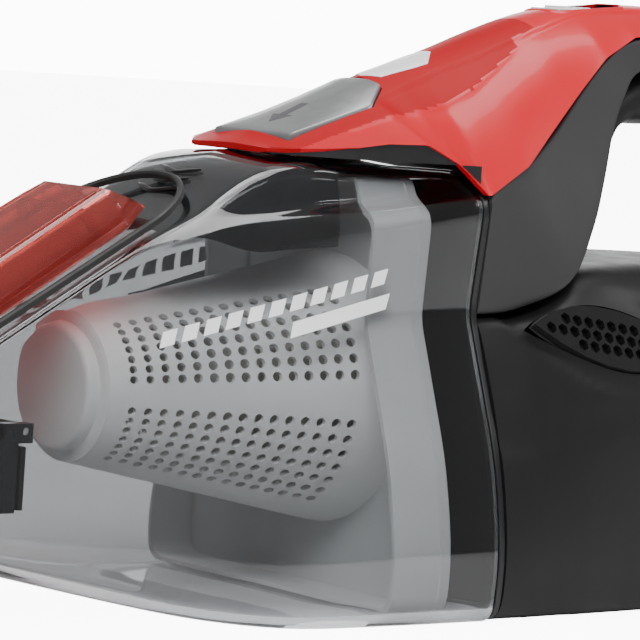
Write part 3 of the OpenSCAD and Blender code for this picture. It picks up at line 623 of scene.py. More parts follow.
def print_dark():
    return finish("dark print", (0.05, 0.05, 0.055), rough=0.5, rough_spread=0.06, bump=0.04)


# ---- clear cup ----

# Each row: x, keel height, then width and height of the bottom corner, the lower flank, the belt,
# the waist, the shoulder, the spine's foot and the spine's edge, and the crown height.
CUP_ROWS = [
    [NOSE_X, 28.5, 33, 28.5, 34, 32, 34, 36, 33.5, 41, 32.5, 44, 31.5, 46, 29, 47, 47.2],
    [-154.5, 16, 38, 16, 39.5, 23, 38, 37, 33, 60, 32, 71, 30.5, 75.5, 29, 77, 77.6],
    [-109.5, 6, 45, 6, 47, 18, 44, 41, 35.5, 70, 33.5, 97, 30, 101.5, 28.5, 103, 103.5],
    [-86.5, 2, 50, 2, 52, 17, 48, 42, 37.5, 76, 36, 107.5, 31, 112, 28, 114.5, 116.5],
    [-62.5, 0, 56, 0, 58, 18, 52.5, 44, 39.5, 81, 39.5, 112, 33.5, 116, 30, 127, 129.5],
    [-30, 0, 60, 0, 61.5, 20, 56, 45.5, 41, 85, 42, 116, 34.5, 119, 31.5, 128.6, 129.8],
    [SEAM_X, 0, 61, 0, 62.5, 20, 57.5, 46, 41.5, 87.5, 45, 120.8, 37, 124.4, 32, 128.6, 129.6],
]
CUP_CUTS = (6, 12, 10, 4, 5, 3, 4)
CUP_FRONT = NOSE_X + 3.6
CUP_BACK = SEAM_X - 0.2


def pairs(v):
    """The half outline of a section row."""
    points = [Vector((v[i], v[i + 1])) for i in range(1, len(v) - 1, 2)]
    return [Vector((0, v[0]))] + points + [Vector((0, v[-1]))]


def cup_half(x, d):
    """Half outline of the cup at x, moved inward by d, as (width, height)."""
    return rounded(inset(pairs(smooth_row(CUP_ROWS, x)), d), CUP_CUTS)


def cup_section(x, d):
    """Closed outline of the cup at x, moved inward by d, as (width, height)."""
    return whole(cup_half(x, d))


def cup_half_width(x, z):
    """Half width of the cup at a height."""
    half = cup_half(x, 0)
    for a, b in zip(half, half[1:]):
        if a.y <= z < b.y:
            return a.x + (b.x - a.x) * (z - a.y) / (b.y - a.y)
    return half[-2].x


def ring_at(x, outline):
    """An outline of (width, height) stood up at x."""
    return [Vector((x, p.x, p.y)) for p in outline]


class VACUUM_OT_dirt_cup(bpy.types.Operator):
    """Adds the smoked clear cup."""

    bl_idname = "vacuum.dirt_cup"
    bl_label = "Dirt cup"

    def execute(self, context):
        wall = context.scene.vacuum_cup.wall
        stations = spread(CUP_FRONT, CUP_BACK, 110)
        cup = shell("dirt_cup_shell", [ring_at(x, cup_section(x, 0)) for x in stations],
                    [ring_at(x, cup_section(x, wall)) for x in stations], closed=True, sharp=24)
        fit(cup, smoked_clear(), "cup", "smoked_clear", "dirt_cup")
        return {"FINISHED"}


class VACUUM_OT_spine_liner(bpy.types.Operator):
    """Adds the dark liner inside the cup's spine."""

    bl_idname = "vacuum.spine_liner"
    bl_label = "Spine liner"

    def execute(self, context):
        front, rear, clear_of_cup = -96, -41, 2.7
        outer, inner = [], []
        for x in spread(front, rear, 27):
            foot, edge, top = inset(pairs(smooth_row(CUP_ROWS, x)), clear_of_cup)[-3:]
            low = foot - Vector((0, 1.5 + 9 * ease((x - front) / 30)))
            line = [low, foot, edge, top]
            thin = [p - Vector(t) for p, t in zip(line, ((1, 0), (1, 0), (1, 1), (0, 1)))]
            for side, rows in ((line, outer), (thin, inner)):
                rows.append(ring_at(x, side + [Vector((-p.x, p.y)) for p in reversed(side[:-1])]))
        liner = shell("spine_liner", outer, inner, closed=False, sharp=20)
        fit(liner, smoke_dark(), "cup", "smoked_clear")
        return {"FINISHED"}


# ---- tool bed, rim and nozzle ----

BED_SLOPE = math.radians(30)
BED_Z = 47.6
PIN_U, PIN_V = 7.7, 3.6


def on_bed(u, y, v):
    """A point given along the bed, across it and off it."""
    return Vector((NOSE_X + u * math.cos(BED_SLOPE) - v * math.sin(BED_SLOPE), y,
                   BED_Z + u * math.sin(BED_SLOPE) + v * math.cos(BED_SLOPE)))


class VACUUM_OT_bed_rim(bpy.types.Operator):
    """Adds the black rim round the tool's bed, with a rounded top edge."""

    bl_idname = "vacuum.bed_rim"
    bl_label = "Bed rim"

    def execute(self, context):
        leg_y, arch_u, width, low, high = 27.0, 121.0, 1.8, 0.5, 2.5
        path = [(u, -1.0, 0.0) for u in spread(24, arch_u - 1, 30)]
        path += [(arch_u, math.cos(a), math.sin(a)) for a in spread(math.pi, 0, 40)]
        path += [(u, 1.0, 0.0) for u in spread(arch_u - 1, 24, 30)]
        rings = []
        for u, across, along in path:
            ring = []
            for r, v in ((leg_y, low), (leg_y, high - 0.5), (leg_y - 0.5, high),
                         (leg_y - width + 0.5, high), (leg_y - width, high - 0.5),
                         (leg_y - width, low)):
                ring.append(on_bed(u + r * along, r * across, v))
            rings.append(ring)
        rim = loft("bed_rim", rings, sharp=40)
        fit(rim, black_rubber(), "cup", "black_rubber", "recess_rim")
        return {"FINISHED"}


class VACUUM_OT_nozzle(bpy.types.Operator):
    """Adds the black nozzle trim, the inlet duct and the flap with rounded edges."""

    bl_idname = "vacuum.nozzle"
    bl_label = "Nozzle"

    def execute(self, context):
        edged("nozzle_trim", black_plastic(), 0.5)
        edged("inlet_duct", smoke_dark(), 0.4)
        edged("inlet_flap", black_rubber(), 0.4)
        edged("tool_hinge_pin", steel(), 0.3)
        edged("flap_pin", steel(), 0.2)
        return {"FINISHED"}


# ---- crevice tool ----

TOOL_U0 = PIN_U + 5.4
TOOL_L, TOOL_WEDGE, TOOL_T = 118.0, 12.0, 12.5
TOOL_V0 = 0.7
# Each row: distance from the tool's base, half width and thickness.
TOOL_ROWS = [[0, 23, 22], [8, 23, 22], [16, 23, 21.8], [24, 23, 17], [34, 22.6, 12.7],
             [60, 21.2, 12.5], [TOOL_L - TOOL_WEDGE, 19, TOOL_T], [TOOL_L + 1, 12, TOOL_T]]


def tool_section(s, d):
    """Outline of the tool at a distance from its base: a flat duct with a chamfered shoulder."""
    w, t = [straight(TOOL_ROWS, s, c) for c in (1, 2)]
    shoulder, lift = 4.2, 5.2
    half = [Vector((0, TOOL_V0)), Vector((w, TOOL_V0)), Vector((w, TOOL_V0 + t - lift)),
            Vector((w - shoulder, TOOL_V0 + t)), Vector((0, TOOL_V0 + t))]
    return whole(rounded(inset(half, d), (1.2, 1.6, 1.6), 5))


class VACUUM_OT_crevice_tool(bpy.types.Operator):
    """Adds the flip-over crevice tool, hollow from end to end, with its knuckles and grooves."""

    bl_idname = "vacuum.crevice_tool"
    bl_label = "Crevice tool"

    def execute(self, context):
        wall = context.scene.vacuum_tool.wall
        stations = [0, 0.8, 1.6, 4, 8, 12, 14, 16, 18, 20, 22, 24, 27, 30, 34, 40, 50, 60, 70, 80, 90,
                    98, 102, 105.4, 106, 106.6, 109, 112, 115, TOOL_L]
        outer, inner = [], []
        for s in stations:
            shrink = 0.7 if s == 0 else 0.25 if s == 0.8 else 0.0
            outer.append([on_bed(TOOL_U0 + s, p.x, p.y) for p in tool_section(s, shrink)])
            inner.append([on_bed(TOOL_U0 + s, p.x, p.y) for p in tool_section(s, wall)])
        tool = shell("crevice_tool_shell", outer, inner, closed=True, sharp=30)
        end, top = TOOL_U0 + TOOL_L, TOOL_V0 + TOOL_T
        cut(tool, prism("tool_wedge", [(end - TOOL_WEDGE, top), (end, TOOL_V0), (end + 9, TOOL_V0),
                                       (end + 9, top + 9), (end - TOOL_WEDGE, top + 9)], -40, 40,
                        lambda u, v, d: on_bed(u, d, v)), 30)
        fit(tool, red_clear(), "tool", "red_clear", "crevice_tool")
        for side in (-1, 1):
            self.knuckle(side)
            self.groove(side)
        self.web()
        return {"FINISHED"}

    def knuckle(self, side):
        """The eye that turns on the hinge pin."""
        y, half, bore, outer = side * 20.0, 2.5, 1.56, 2.8
        arc = [(math.cos(a), math.sin(a)) for a in spread(math.pi / 2, 3 * math.pi / 2, 16)]
        rim = [(PIN_U + outer * c, PIN_V + outer * s) for c, s in arc]
        rim += [(TOOL_U0 + 1, PIN_V - outer), (TOOL_U0 + 1, PIN_V + outer)]
        hole = [(PIN_U + bore * c, PIN_V + bore * s) for c, s in arc]
        hole += [(PIN_U + bore * math.cos(a), PIN_V + bore * math.sin(a))
                 for a in (-math.pi / 4, math.pi / 4)]
        rings = [[on_bed(u, y + d, v) for u, v in line]
                 for line, d in ((rim, -half), (rim, half), (hole, half), (hole, -half), (rim, -half))]
        eye = loft("tool_knuckle_right" if side < 0 else "tool_knuckle_left", rings, caps=False)
        fit(eye, red_clear(), "tool", "red_clear")

    def groove(self, side):
        """A fine raised line along the tool's shoulder."""
        line = []
        for s in spread(36, 104, 24):
            w, t = [straight(TOOL_ROWS, s, c) for c in (1, 2)]
            line.append(on_bed(TOOL_U0 + s, side * (w - 5.4), TOOL_V0 + t))
        up = on_bed(0, 0, 1) - on_bed(0, 0, 0)
        bar = strip("tool_line_right" if side < 0 else "tool_line_left", line, 0.9, 0.35, lambda p: up)
        fit(bar, red_clear(), "tool", "red_clear")

    def web(self):
        """Inner rib across the duct behind its narrow mouth."""
        s, t = 96.0, 12.5
        outline = tool_section(s, bpy.context.scene.vacuum_tool.wall + 0.05)
        hole = [Vector((p.x * 0.82, TOOL_V0 + t / 2 + (p.y - TOOL_V0 - t / 2) * 0.72)) for p in outline]
        rings = [[on_bed(TOOL_U0 + s + d, p.x, p.y) for p in line]
                 for line, d in ((outline, 0), (outline, 1.4), (hole, 1.4), (hole, 0), (outline, 0))]
        rib = loft("tool_rib", rings, caps=False)
        fit(rib, red_clear(), "tool", "red_clear")


# ---- filter ----

FLANGE_X = node_low("filter_flange").x
SHROUD_R, SHROUD_TIP_R, SHROUD_L = 40.0, 21.0, 92.0
SHROUD_X = FLANGE_X - SHROUD_L
SHROUD_WALL = 1.6


def on_cone(x, angle, d):
    """A point of the shroud's cone; the angle runs round its axis from +Y upwards."""
    r = SHROUD_TIP_R + (SHROUD_R - SHROUD_TIP_R) * (x - SHROUD_X) / SHROUD_L - d
    return Vector((x, r * math.cos(angle), AXIS_Z + r * math.sin(angle)))


class VACUUM_OT_filter(bpy.types.Operator):
    """Adds the perforated shroud, its nose, the flange with its skirt, and the pleated filter."""

    bl_idname = "vacuum.filter"
    bl_label = "Filter"

    def execute(self, context):
        s = context.scene.vacuum_filter
        shroud = self.cone(s.rings, s.spokes, s.hole_radius)
        fit(shroud, shroud_grey(), "filter", "pale_plastic", "filter_shroud")
        self.nose()
        edged("filter_flange", flange_clear(), 0.5)
        self.skirt()
        edged("pleated_filter", filter_paper(), 0.15, 1)
        return {"FINISHED"}

    def cone(self, rings, spokes, hole_radius):
        """The cone as cells, each with a round hole or a plain middle."""
        ring_l = SHROUD_L / rings
        turn = 2 * math.pi / spokes
        corners = 16
        outer, faces, count = [], [], 0
        for i in range(rings):
            x = SHROUD_X + (i + 0.5) * ring_l
            r = SHROUD_TIP_R + (SHROUD_R - SHROUD_TIP_R) * (x - SHROUD_X) / SHROUD_L
            for j in range(spokes):
                angle = (j + 0.5) * turn
                hole = min(hole_radius, 0.40 * turn * r)
                edge, ring = [], []
                for c, s in circle(corners):
                    m = max(abs(c), abs(s))
                    edge.append((x + c / m * ring_l / 2, angle + s / m * turn / 2))
                    ring.append((x + c * hole, angle + s * hole / r))
                outer += edge + ring
                faces += [(count + k, count + (k + 1) % corners, count + corners + (k + 1) % corners,
                           count + corners + k) for k in range(corners)]
                if not self.open_cell(i, angle):
                    faces.append(tuple(count + corners + k for k in range(corners)))
                count += 2 * corners
        mesh_points = [on_cone(x, a, 0) for x, a in outer]
        made = new_object("perforated_shroud", mesh_points, faces, sharp=40)
        bpy.context.view_layer.update()
        thick = made.modifiers.new("wall", "SOLIDIFY")
        thick.thickness = SHROUD_WALL * MM
        thick.offset = -1
        return apply_modifiers(made, 40)

    def open_cell(self, i, angle):
        """True where the cone is perforated: two patches on each flank."""
        from_side = abs((math.degrees(angle) + 90) % 180 - 90)
        return 1 <= i <= 15 and 6 < from_side < 62

    def nose(self):
        """The blunt nose that closes the cone's narrow end, with a shallow ring step."""
        profile = [(0.4, SHROUD_TIP_R), (0, SHROUD_TIP_R - 0.2), (-0.5, SHROUD_TIP_R - 1.4),
                   (-1, SHROUD_TIP_R - 3), (-3.8, SHROUD_TIP_R - 3.2), (-4.6, SHROUD_TIP_R - 3.8),
                   (-5, SHROUD_TIP_R - 5), (-5, 6), (-5, 1)]
        rings = [[Vector((SHROUD_X + x, r * c, AXIS_Z + r * s)) for c, s in circle(72)]
                 for x, r in profile]
        fit(loft("shroud_nose", rings, sharp=50), shroud_grey(), "filter", "pale_plastic")

    def skirt(self):
        """The thin skirt of the flange that lines the cup's wall."""
        depth = 16.0
        stations = spread(FLANGE_X - depth, FLANGE_X, 8)
        clear = bpy.context.scene.vacuum_cup.wall + 0.7
        outer = [ring_at(x, cup_section(x, clear)) for x in stations]
        inner = [ring_at(x, cup_section(x, clear + 1.3)) for x in stations]
        made = shell("flange_skirt", outer, inner, closed=True, sharp=30)
        fit(made, flange_clear(), "filter", "pale_plastic")


# ---- red top cover ----

# Each row: x, edge height, edge half width, crown height, roundness of the section.
COVER_ROWS = [
    [-57.4, 131.8, 17.4, 132.4, 1.6], [-52, 132.3, 24, 134.8, 1.5], [-46.5, 132.9, 30.5, 138, 1.35],
    [-38, 133.9, 36, 142, 1.3], [-28.5, 135.3, 37.5, 146.2, 1.3], [-16, 135.6, 40, 151.4, 1.4],
    [-6, 130.6, 42.5, 155.2, 1.6], [4.5, 121.8, 44.9, 158.6, 1.8], [21.5, 131, 42, 164.4, 2],
    [35.5, 142, 36.5, 169.8, 2.1],
    [50.5, 153.8, 31, 175, 2.2], [63.5, 164, 27, 178.2, 2.3], [79.5, 171, 22.5, 180, 2.4],
    [102.5, 172.8, 19.5, 181, 2.5], [130, 170.4, 18.5, 178.6, 2.5], [152, 164, 18, 171, 2.5],
    [165, 159, 17, 163, 2.5],
]
COVER_WALL = 2.4
CUP_CLEAR_Z, FULL_ARCH = 130.3, 12.0
MIDDLE_GAP = 0.15
BUTTON_X, BUTTON_L, BUTTON_W, BUTTON_Z = -49.2, 38.0, 34.6, 136.2
BUTTON_T, BUTTON_RISE, BUTTON_CROWN = 3.2, 0.28, 0.17
SWITCH_X, SWITCH_SLOT, SWITCH_W = 74.0, 27.0, 13.0
# Each row: x and half width of the raised middle of the cover.
RIDGE_ROWS = [[-16, 14.6], [-2, 12.8], [9, 11.6], [22, 12.6], [35, 12.1], [51, 11.4], [66, 9.6],
              [120, 8.6], [165, 8.4]]
# Each row: x and half width of the shallow curved crease outside the raised middle.
CREASE_ROWS = [[-40, 25.2], [-22, 24.1], [-10, 23.1], [4, 22], [15, 21.6], [25, 18.9], [38, 14.8],
               [47, 12]]


def cover_point(x, s, d):
    """A point of the cover; s runs from -1 to 1 across it, and d is the depth."""
    z1, e = smooth_row(COVER_ROWS, x)[2:4]
    z0, w = straight(COVER_ROWS, x, 1), straight(COVER_ROWS, x, 2) - d
    return Vector((x, s * w, d + z0 + (z1 - z0 - 2 * d) * (1 - abs(s) ** e)))


def cover_relief(x, y, ridge):
    """How far the skin sinks outside the raised middle and the curved crease."""
    sink = 0.0
    if x > -16:
        edge = straight(RIDGE_ROWS, x, 1)
        fade = ease((x + 18) / 6) * (1 - ease((x - 140) / 20))
        sink += ridge * ease((abs(y) - edge) / 1.6) * fade
    if -40 < x < 47:
        edge = straight(CREASE_ROWS, x, 1)
        fade = ease((x + 40) / 8) * ease((47 - x) / 12)
        sink += 0.55 * ridge * ease((abs(y) - edge) / 1.4) * (1 - ease((abs(y) - edge - 2) / 14)) * fade
    return sink


def cover_inner(x, s):
    """The inner side of the cover: an upright rim near the flat front, and a land where it is arched."""
    outer, edge = cover_point(x, s, 0), cover_point(x, 1, 0).z
    rise = cover_point(x, 0, 0).z - edge
    arch = min(1.0, rise / FULL_ARCH)
    depth = min(COVER_WALL, edge + 0.3 * rise - CUP_CLEAR_Z)
    rim = 0.6 * depth * (1 - arch)
    return Vector((x, outer.y - s * COVER_WALL * arch, outer.z - rim - (depth - rim) * (1 - abs(s) ** 6)))


def cover_top(x, y):
    """Height of the cover's skin above a point."""
    w = straight(COVER_ROWS, x, 2)
    ridge = bpy.context.scene.vacuum_cover.ridge
    return cover_point(x, max(-1.0, min(1.0, y / w)), 0).z - cover_relief(x, y, ridge)


def button_outline(grow, fine=0.0):
    """Outline of the release button, as (x, y): square in front and tapered at its rear."""
    l, w, taper_l, taper_w = BUTTON_L, BUTTON_W / 2, 8.0, 6.3
    near = grow * 0.4
    right = [(-grow, -w - grow), (l - taper_l + near, -w - grow), (l + grow, -w + taper_w - near)]
    corners = [(BUTTON_X + x, y) for x, y in right + [(x, -y) for x, y in reversed(right)]]
    if not fine:
        return corners
    made = []
    for (x0, y0), (x1, y1) in zip(corners, corners[1:] + corners[:1]):
        n = max(1, round(math.hypot(x1 - x0, y1 - y0) / fine))
        made += [(x0 + (x1 - x0) * k / n, y0 + (y1 - y0) * k / n) for k in range(n)]
    return made


def button_face(x, y):
    """Height of the button's crowned face."""
    bow = 1 - min(1.0, abs(y) / (BUTTON_W / 2 + 1)) ** 3
    return BUTTON_Z + (x - BUTTON_X) * (BUTTON_RISE + BUTTON_CROWN * bow)


class VACUUM_OT_top_cover(bpy.types.Operator):
    """Adds the gloss red cover with its raised middle, creases and cut-outs."""

    bl_idname = "vacuum.top_cover"
    bl_label = "Top cover"

    def execute(self, context):
        ridge = context.scene.vacuum_cover.ridge
        stations = spread(COVER_ROWS[0][0], COVER_ROWS[-1][0], 170)
        across = spread(-1, 1, 90)
        outer = []
        for x in stations:
            line = []
            for s in across:
                p = cover_point(x, s, 0)
                p.z -= cover_relief(x, p.y, ridge) * (1 - abs(s) ** 8)
                line.append(p)
            outer.append(line)
        inner = [[cover_inner(x, s) for s in across] for x in stations]
        cover = shell("top_cover_shell", outer, inner, closed=False, sharp=35)
        upright = lambda u, v, d: Vector((u, v, d))
        cut(cover, prism("button_hole", button_outline(0.5), 120, 180, upright), 35)
        slot_l, slot_w = SWITCH_SLOT / 2, SWITCH_W / 2 + 1
        cut(cover, prism("switch_hole", rounded_box(SWITCH_X, 0, slot_l, slot_w, 3.0), 160, 200,
                         upright), 35)
        fit(cover, red_gloss(), "main", "red_gloss", "top_cover")
        # Faces inside the creases take a darker copy of the red, which is painted shade.
        cover.data.materials.append(red_satin_shaded())
        for face in cover.data.polygons:
            x, y = face.center.x / MM, abs(face.center.y) / MM
            inside = straight(CREASE_ROWS, x, 1) if x < 38 else straight(RIDGE_ROWS, x, 1)
            if y < inside and x < CREASE_ROWS[-1][0]:
                face.material_index = 1
        self.skirt()
        self.badge()
        self.switch_frame()
        return {"FINISHED"}

    def skirt(self):
        """A black wall under the cover's rim, down to just over the cup."""
        side = [(x, straight(COVER_ROWS, x, 2) - 1.2) for x in spread(2, -56, 24)]
        path = [(x, -y) for x, y in side] + [(x, y) for x, y in reversed(side)]
        outer = [[Vector((x, y, CUP_CLEAR_Z + 0.1)), Vector((x, y, straight(COVER_ROWS, x, 1) + 0.2))]
                 for x, y in path]
        inner = [[Vector((p.x + 1, p.y * 0.95, p.z)) for p in line] for line in outer]
        made = shell("cover_skirt", outer, inner, closed=False)
        fit(made, black_plastic(), "main", "black_plastic")

    def badge(self):
        """A blank pale plate on the cover behind the button."""
        outline = [(-10, -6), (6, -8), (12, -2), (12, 2), (6, 8), (-10, 6), (-13, 0)]
        centre, points, n = 3.0, [], 6
        fine = []
        for (x0, y0), (x1, y1) in zip(outline, outline[1:] + outline[:1]):
            fine += [(x0 + (x1 - x0) * k / n, y0 + (y1 - y0) * k / n) for k in range(n)]
        for scale, lift in ((1.0, -0.2), (1.0, 0.18), (0.965, 0.3), (0.66, 0.3), (0.33, 0.3)):
            points.append([Vector((centre + x * scale, y * scale,
                                   cover_top(centre + x * scale, y * scale) + lift)) for x, y in fine])
        fit(loft("cover_badge", points, sharp=40), switch_white(), "main", "white_plastic")

    def switch_frame(self):
        """A thin red lip round the switch's slot."""
        rings = []
        for grow, lift in ((0.0, -1.6), (0.0, 0.25), (0.5, 0.5), (1.3, 0.4), (1.8, -0.1)):
            line = rounded_box(SWITCH_X, 0, SWITCH_SLOT / 2 + grow, SWITCH_W / 2 + 1 + grow, 3.0 + grow)
            rings.append([Vector((x, y, cover_top(x, y) + lift)) for x, y in line])
        made = loft("switch_lip", rings, sharp=45, caps=False)
        fit(made, red_gloss(), "main", "red_gloss")


def rounded_box(cx, cy, half_l, half_w, radius):
    """Outline of a box with round corners."""
    line = []
    for k, (sx, sy) in enumerate(((1, 1), (-1, 1), (-1, -1), (1, -1))):
        for a in spread(k * math.pi / 2, (k + 1) * math.pi / 2, 6):
            line.append((cx + sx * (half_l - radius) + radius * math.cos(a),
                         cy + sy * (half_w - radius) + radius * math.sin(a)))
    return line


# ---- release button and switch ----


class VACUUM_OT_release_button(bpy.types.Operator):
    """Adds the silver release button, its printed arrow and the parts under it."""

    bl_idname = "vacuum.release_button"
    bl_label = "Release button"

    def execute(self, context):
        self.cap()
        stem = prism("button_stem", [(-18.5, -4), (-14.5, -4), (-14.5, 4), (-18.5, 4)], 135, 147.5,
                     lambda u, v, d: Vector((u, v, d)))
        fit(stem, silver_paint(), "button", "silver_paint")
        self.arrow()
        edged("cup_latch", charcoal(), 0.3)
        edged("latch_frame", black_plastic(), 0.3)
        edged("latch_pin", steel(), 0.2)
        return {"FINISHED"}

    def cap(self):
        """The crowned cap with a rounded upper edge."""
        middle = (BUTTON_X + BUTTON_L / 2, 0.0)
        rings = []
        for share, drop in ((0.1, BUTTON_T), (1, BUTTON_T), (1, 0.9), (0.995, 0.45), (0.982, 0.12),
                            (0.955, 0), (0.8, 0), (0.6, 0), (0.4, 0), (0.2, 0), (0.05, 0)):
            ring = []
            for x, y in button_outline(0, 2.0):
                x, y = middle[0] + (x - middle[0]) * share, y * share
                ring.append(Vector((x, y, button_face(x, y) - drop)))
            rings.append(ring)
        fit(loft("button_cap", rings, sharp=38), silver_paint(), "button", "silver_paint",
            "release_button")

    def arrow(self):
        """A plain printed arrow that points to the front."""
        line = [(-7, 0), (-2, -4.5), (-2, -1.6), (6, -1.6), (6, 1.6), (-2, 1.6), (-2, 4.5)]
        centre = BUTTON_X + 13
        rings = [[Vector((centre + x, y, button_face(centre + x, y) + lift)) for x, y in line]
                 for lift in (-0.1, 0.06)]
        fit(loft("button_arrow", rings), print_dark(), "button", "black_plastic")


class VACUUM_OT_switch(bpy.types.Operator):
    """Adds the sliding switch and its module."""

    bl_idname = "vacuum.switch"
    bl_label = "Power switch"

    def execute(self, context):
        edged("power_switch", switch_white(), 0.45, 3)
        edged("switch_module", black_plastic(), 0.5)
        return {"FINISHED"}


# ---- handle ----

# Each row: x and z of the panel's middle line, its direction, half height, and half width at the
# upper and at the lower edge.
PANEL_ROWS = [
    [HOUSING_X, 104.2, 0, 17, 44.8, 41.8], [14, 106.6, 20, 18.4, 44, 44.5],
    [27, 113, 33, 19, 41.5, 47], [39, 123.5, 46, 15.5, 37.5, 42], [49.5, 135.5, 54, 12, 33.5, 36],
    [58, 147, 52, 9.2, 30, 31.5], [67.5, 157.6, 42, 6.8, 26.5, 28], [80.5, 165.3, 22, 5.2, 22.6, 23.6],
    [107.5, 168, 0, 4.5, 19.4, 20], [136, 163.6, -15, 4.5, 18.4, 19], [162, 152.6, -31, 6, 18.2, 19],
    [183, 136, -50, 8, 19, 20], [195.5, 114, -74, 9.4, 21, 22], [197.6, 102, -92, 10.2, 23, 24],
    [194.6, 94.4, -124, 11, 24, 25],
]
# Each row: x and z of the grip's middle line, its direction, half height and half width.
LINER_ROWS = [
    [52.9, 106.3, 68, 5.8, 31], [61.4, 122.4, 66, 4.3, 28], [69.3, 138.8, 58, 4, 24.4],
    [80.4, 149.3, 26, 7.1, 20.6], [107.5, 153.4, 0, 9.4, 18.2], [135.9, 149, -13, 8.4, 17.6],
    [157.4, 138.7, -34, 6.9, 17.4], [172.5, 123.7, -58, 6.4, 18], [180.2, 107.9, -78, 5.9, 20],
    [180.4, 100.8, -98, 5, 20.6],
]


def panel_point(row, f, y):
    """A point of a panel at f, from -1 at its lower edge to 1 at its upper edge."""
    x, z, turn, half = row[0], row[1], math.radians(row[2]), row[3] - 0.3
    return Vector((x - math.sin(turn) * f * half, y, z + math.cos(turn) * f * half))


class VACUUM_OT_handle(bpy.types.Operator):
    """Adds the handle's two grey side panels and the soft grip between them."""

    bl_idname = "vacuum.handle"
    bl_label = "Handle"

    def execute(self, context):
        for side, name in ((1, "handle_left"), (-1, "handle_right")):
            fit(self.panel(side, name), panel_grey(), "main", "panel_grey", name)
        fit(self.grip(), grip_black(), "main", "grip_rubber", "grip_liner")
        return {"FINISHED"}

    def panel(self, side, name):
        """One half of the channel that runs round the handle."""
        rows = [path_row(PANEL_ROWS, t) for t in spread(0, len(PANEL_ROWS) - 1, 112)]
        across = [-1, -0.985, -0.955, -0.91] + spread(-0.86, 0.86, 14) + [0.91, 0.955, 0.985, 1]
        outer, inner = [], []
        for row in rows:
            upper, lower, half = row[4], row[5], row[3] - 0.3
            line, back = [panel_point(row, -1, side * MIDDLE_GAP)], []
            k = (half - min(COVER_WALL, 0.45 * row[3])) / half
            back.append(panel_point(row, -k, side * MIDDLE_GAP))
            for f in across:
                w = (upper + lower) / 2 + f * (upper - lower) / 2
                edge = 1.2 * (1 - math.sqrt(max(0.0, 1 - max(0.0, (abs(f) - 0.86) / 0.14) ** 2)))
                line.append(panel_point(row, f, side * (w - edge)))
                inner_w = (upper + lower) / 2 + f * k * (upper - lower) / 2 - COVER_WALL
                back.append(panel_point(row, f * k, side * (inner_w - edge)))
            line.append(panel_point(row, 1, side * MIDDLE_GAP))
            back.append(panel_point(row, k, side * MIDDLE_GAP))
            outer.append(line)
            inner.append(back)
        return shell(name + "_panel", outer, inner, closed=False, sharp=38)

    def grip(self):
        """The soft grip: a rounded bar with shallow finger swells on its lower side."""
        rings = []
        last = len(LINER_ROWS) - 1
        for t in spread(0, last, 90):
            x, z, turn, half, width = path_row(LINER_ROWS, t)
            turn = math.radians(turn)
            ring = []
            for c, s in circle(48, math.pi / 48):
                y = math.copysign(abs(c) ** 0.6, c) * width
                v = math.copysign(abs(s) ** 0.7, s) * (half - 0.2)
                if s < 0 and 2.6 < t < 6.6:
                    v *= 1 - 0.035 * (1 - math.cos(2 * math.pi * (t - 2.6)))
                ring.append(Vector((x - math.sin(turn) * v, y, z + math.cos(turn) * v)))
            rings.append(ring)
        return loft("soft_grip", rings, sharp=40)


# ---- lower body ----

# Each row: x, keel height, then width and height of the bottom corner, the lower flank, the belt,
# the upper flank and the shoulder, and the crown height.
BODY_ROWS = [
    [SEAM_X, 0, 61, 0, 62.5, 20, 57.5, 46, 41.8, 84, 38, 86.3, 86.5],
    [24.5, 0, 61, 0, 63, 22, 60, 48, 51.5, 84.5, 45, 89, 89.4],
    [42.5, 0, 61, 0, 63, 23, 61.5, 52, 56.5, 84, 44, 99, 100],
    [72.5, 0, 60, 0, 62, 24, 61.5, 57, 57.5, 79, 41, 102.2, 103],
    [112.5, 0, 57, 0, 59, 24, 59, 58, 55, 77, 37, 102.4, 103],
    [152.5, 3, 49, 3, 52, 27, 52, 58, 49, 75, 33, 101, 102.4],
    [187.5, 13, 35, 13, 39, 33, 39.5, 56, 37, 72, 25, 96, 98],
    [202, 24, 24, 24, 27, 40, 27.5, 54, 25, 68, 17, 85, 87],
]
BODY_CUTS = (8, 14, 12, 12, 9)
BODY_WALL = 2.4
VENT_Y, VENT_Z, VENT_LEAN = 53.0, 84.0, math.radians(27)
VENT_X0, VENT_X1 = 19.0, 88.0
VENT_HALF = 10.0
SCREW_SPOTS = [(60, 16), (100, 16), (186, 40), (98, 91), (160, 88)]
WELL_R, WELL_BORE = 5.4, 3.4
# Each row: x and height of the belt's step.
BELT_ROWS = [[HOUSING_X, 48], [30, 51.5], [60, 58], [90, 61.5], [140, 62], [202, 60]]


def vent_middle(x):
    """Height of the vent's middle line."""
    return 86 - 10 * (x - VENT_X0) / (VENT_X1 - VENT_X0)


def vent_edge(grow):
    """Leaf-shaped outline of the vent, as (x, z)."""
    length = VENT_X1 - VENT_X0
    line = []
    for sign, power in ((1, 0.8), (-1, 0.9)):
        part = spread(0, 1, 24) if sign > 0 else spread(1, 0, 24)
        for s in part[:-1]:
            x = VENT_X0 + s * length
            line.append((VENT_X0 - grow + s * (length + 2 * grow),
                         vent_middle(x) + sign * (VENT_HALF + grow) * math.sin(math.pi * s**power)))
    return line


def on_vent(side):
    """Turns (x, z, depth) into a point of the vent's leaning plane."""
    def place(u, v, d):
        c, s = math.cos(VENT_LEAN), math.sin(VENT_LEAN)
        y, z = d, v - VENT_Z
        return Vector((u, side * (VENT_Y + y * c - z * s), VENT_Z + y * s + z * c))
    return place


def leaf_reach(x, z):
    """How far a place lies inside the vent's leaf grown by its recess: 1 at the vent, 0 outside."""
    grow = 7.0
    s = (x - (VENT_X0 - grow)) / (VENT_X1 - VENT_X0 + 2 * grow)
    if not 0 < s < 1:
        return 0.0
    half = (VENT_HALF + grow) * math.sin(math.pi * s**0.85)
    return ease((half - abs(z - vent_middle(x))) / 4.0)


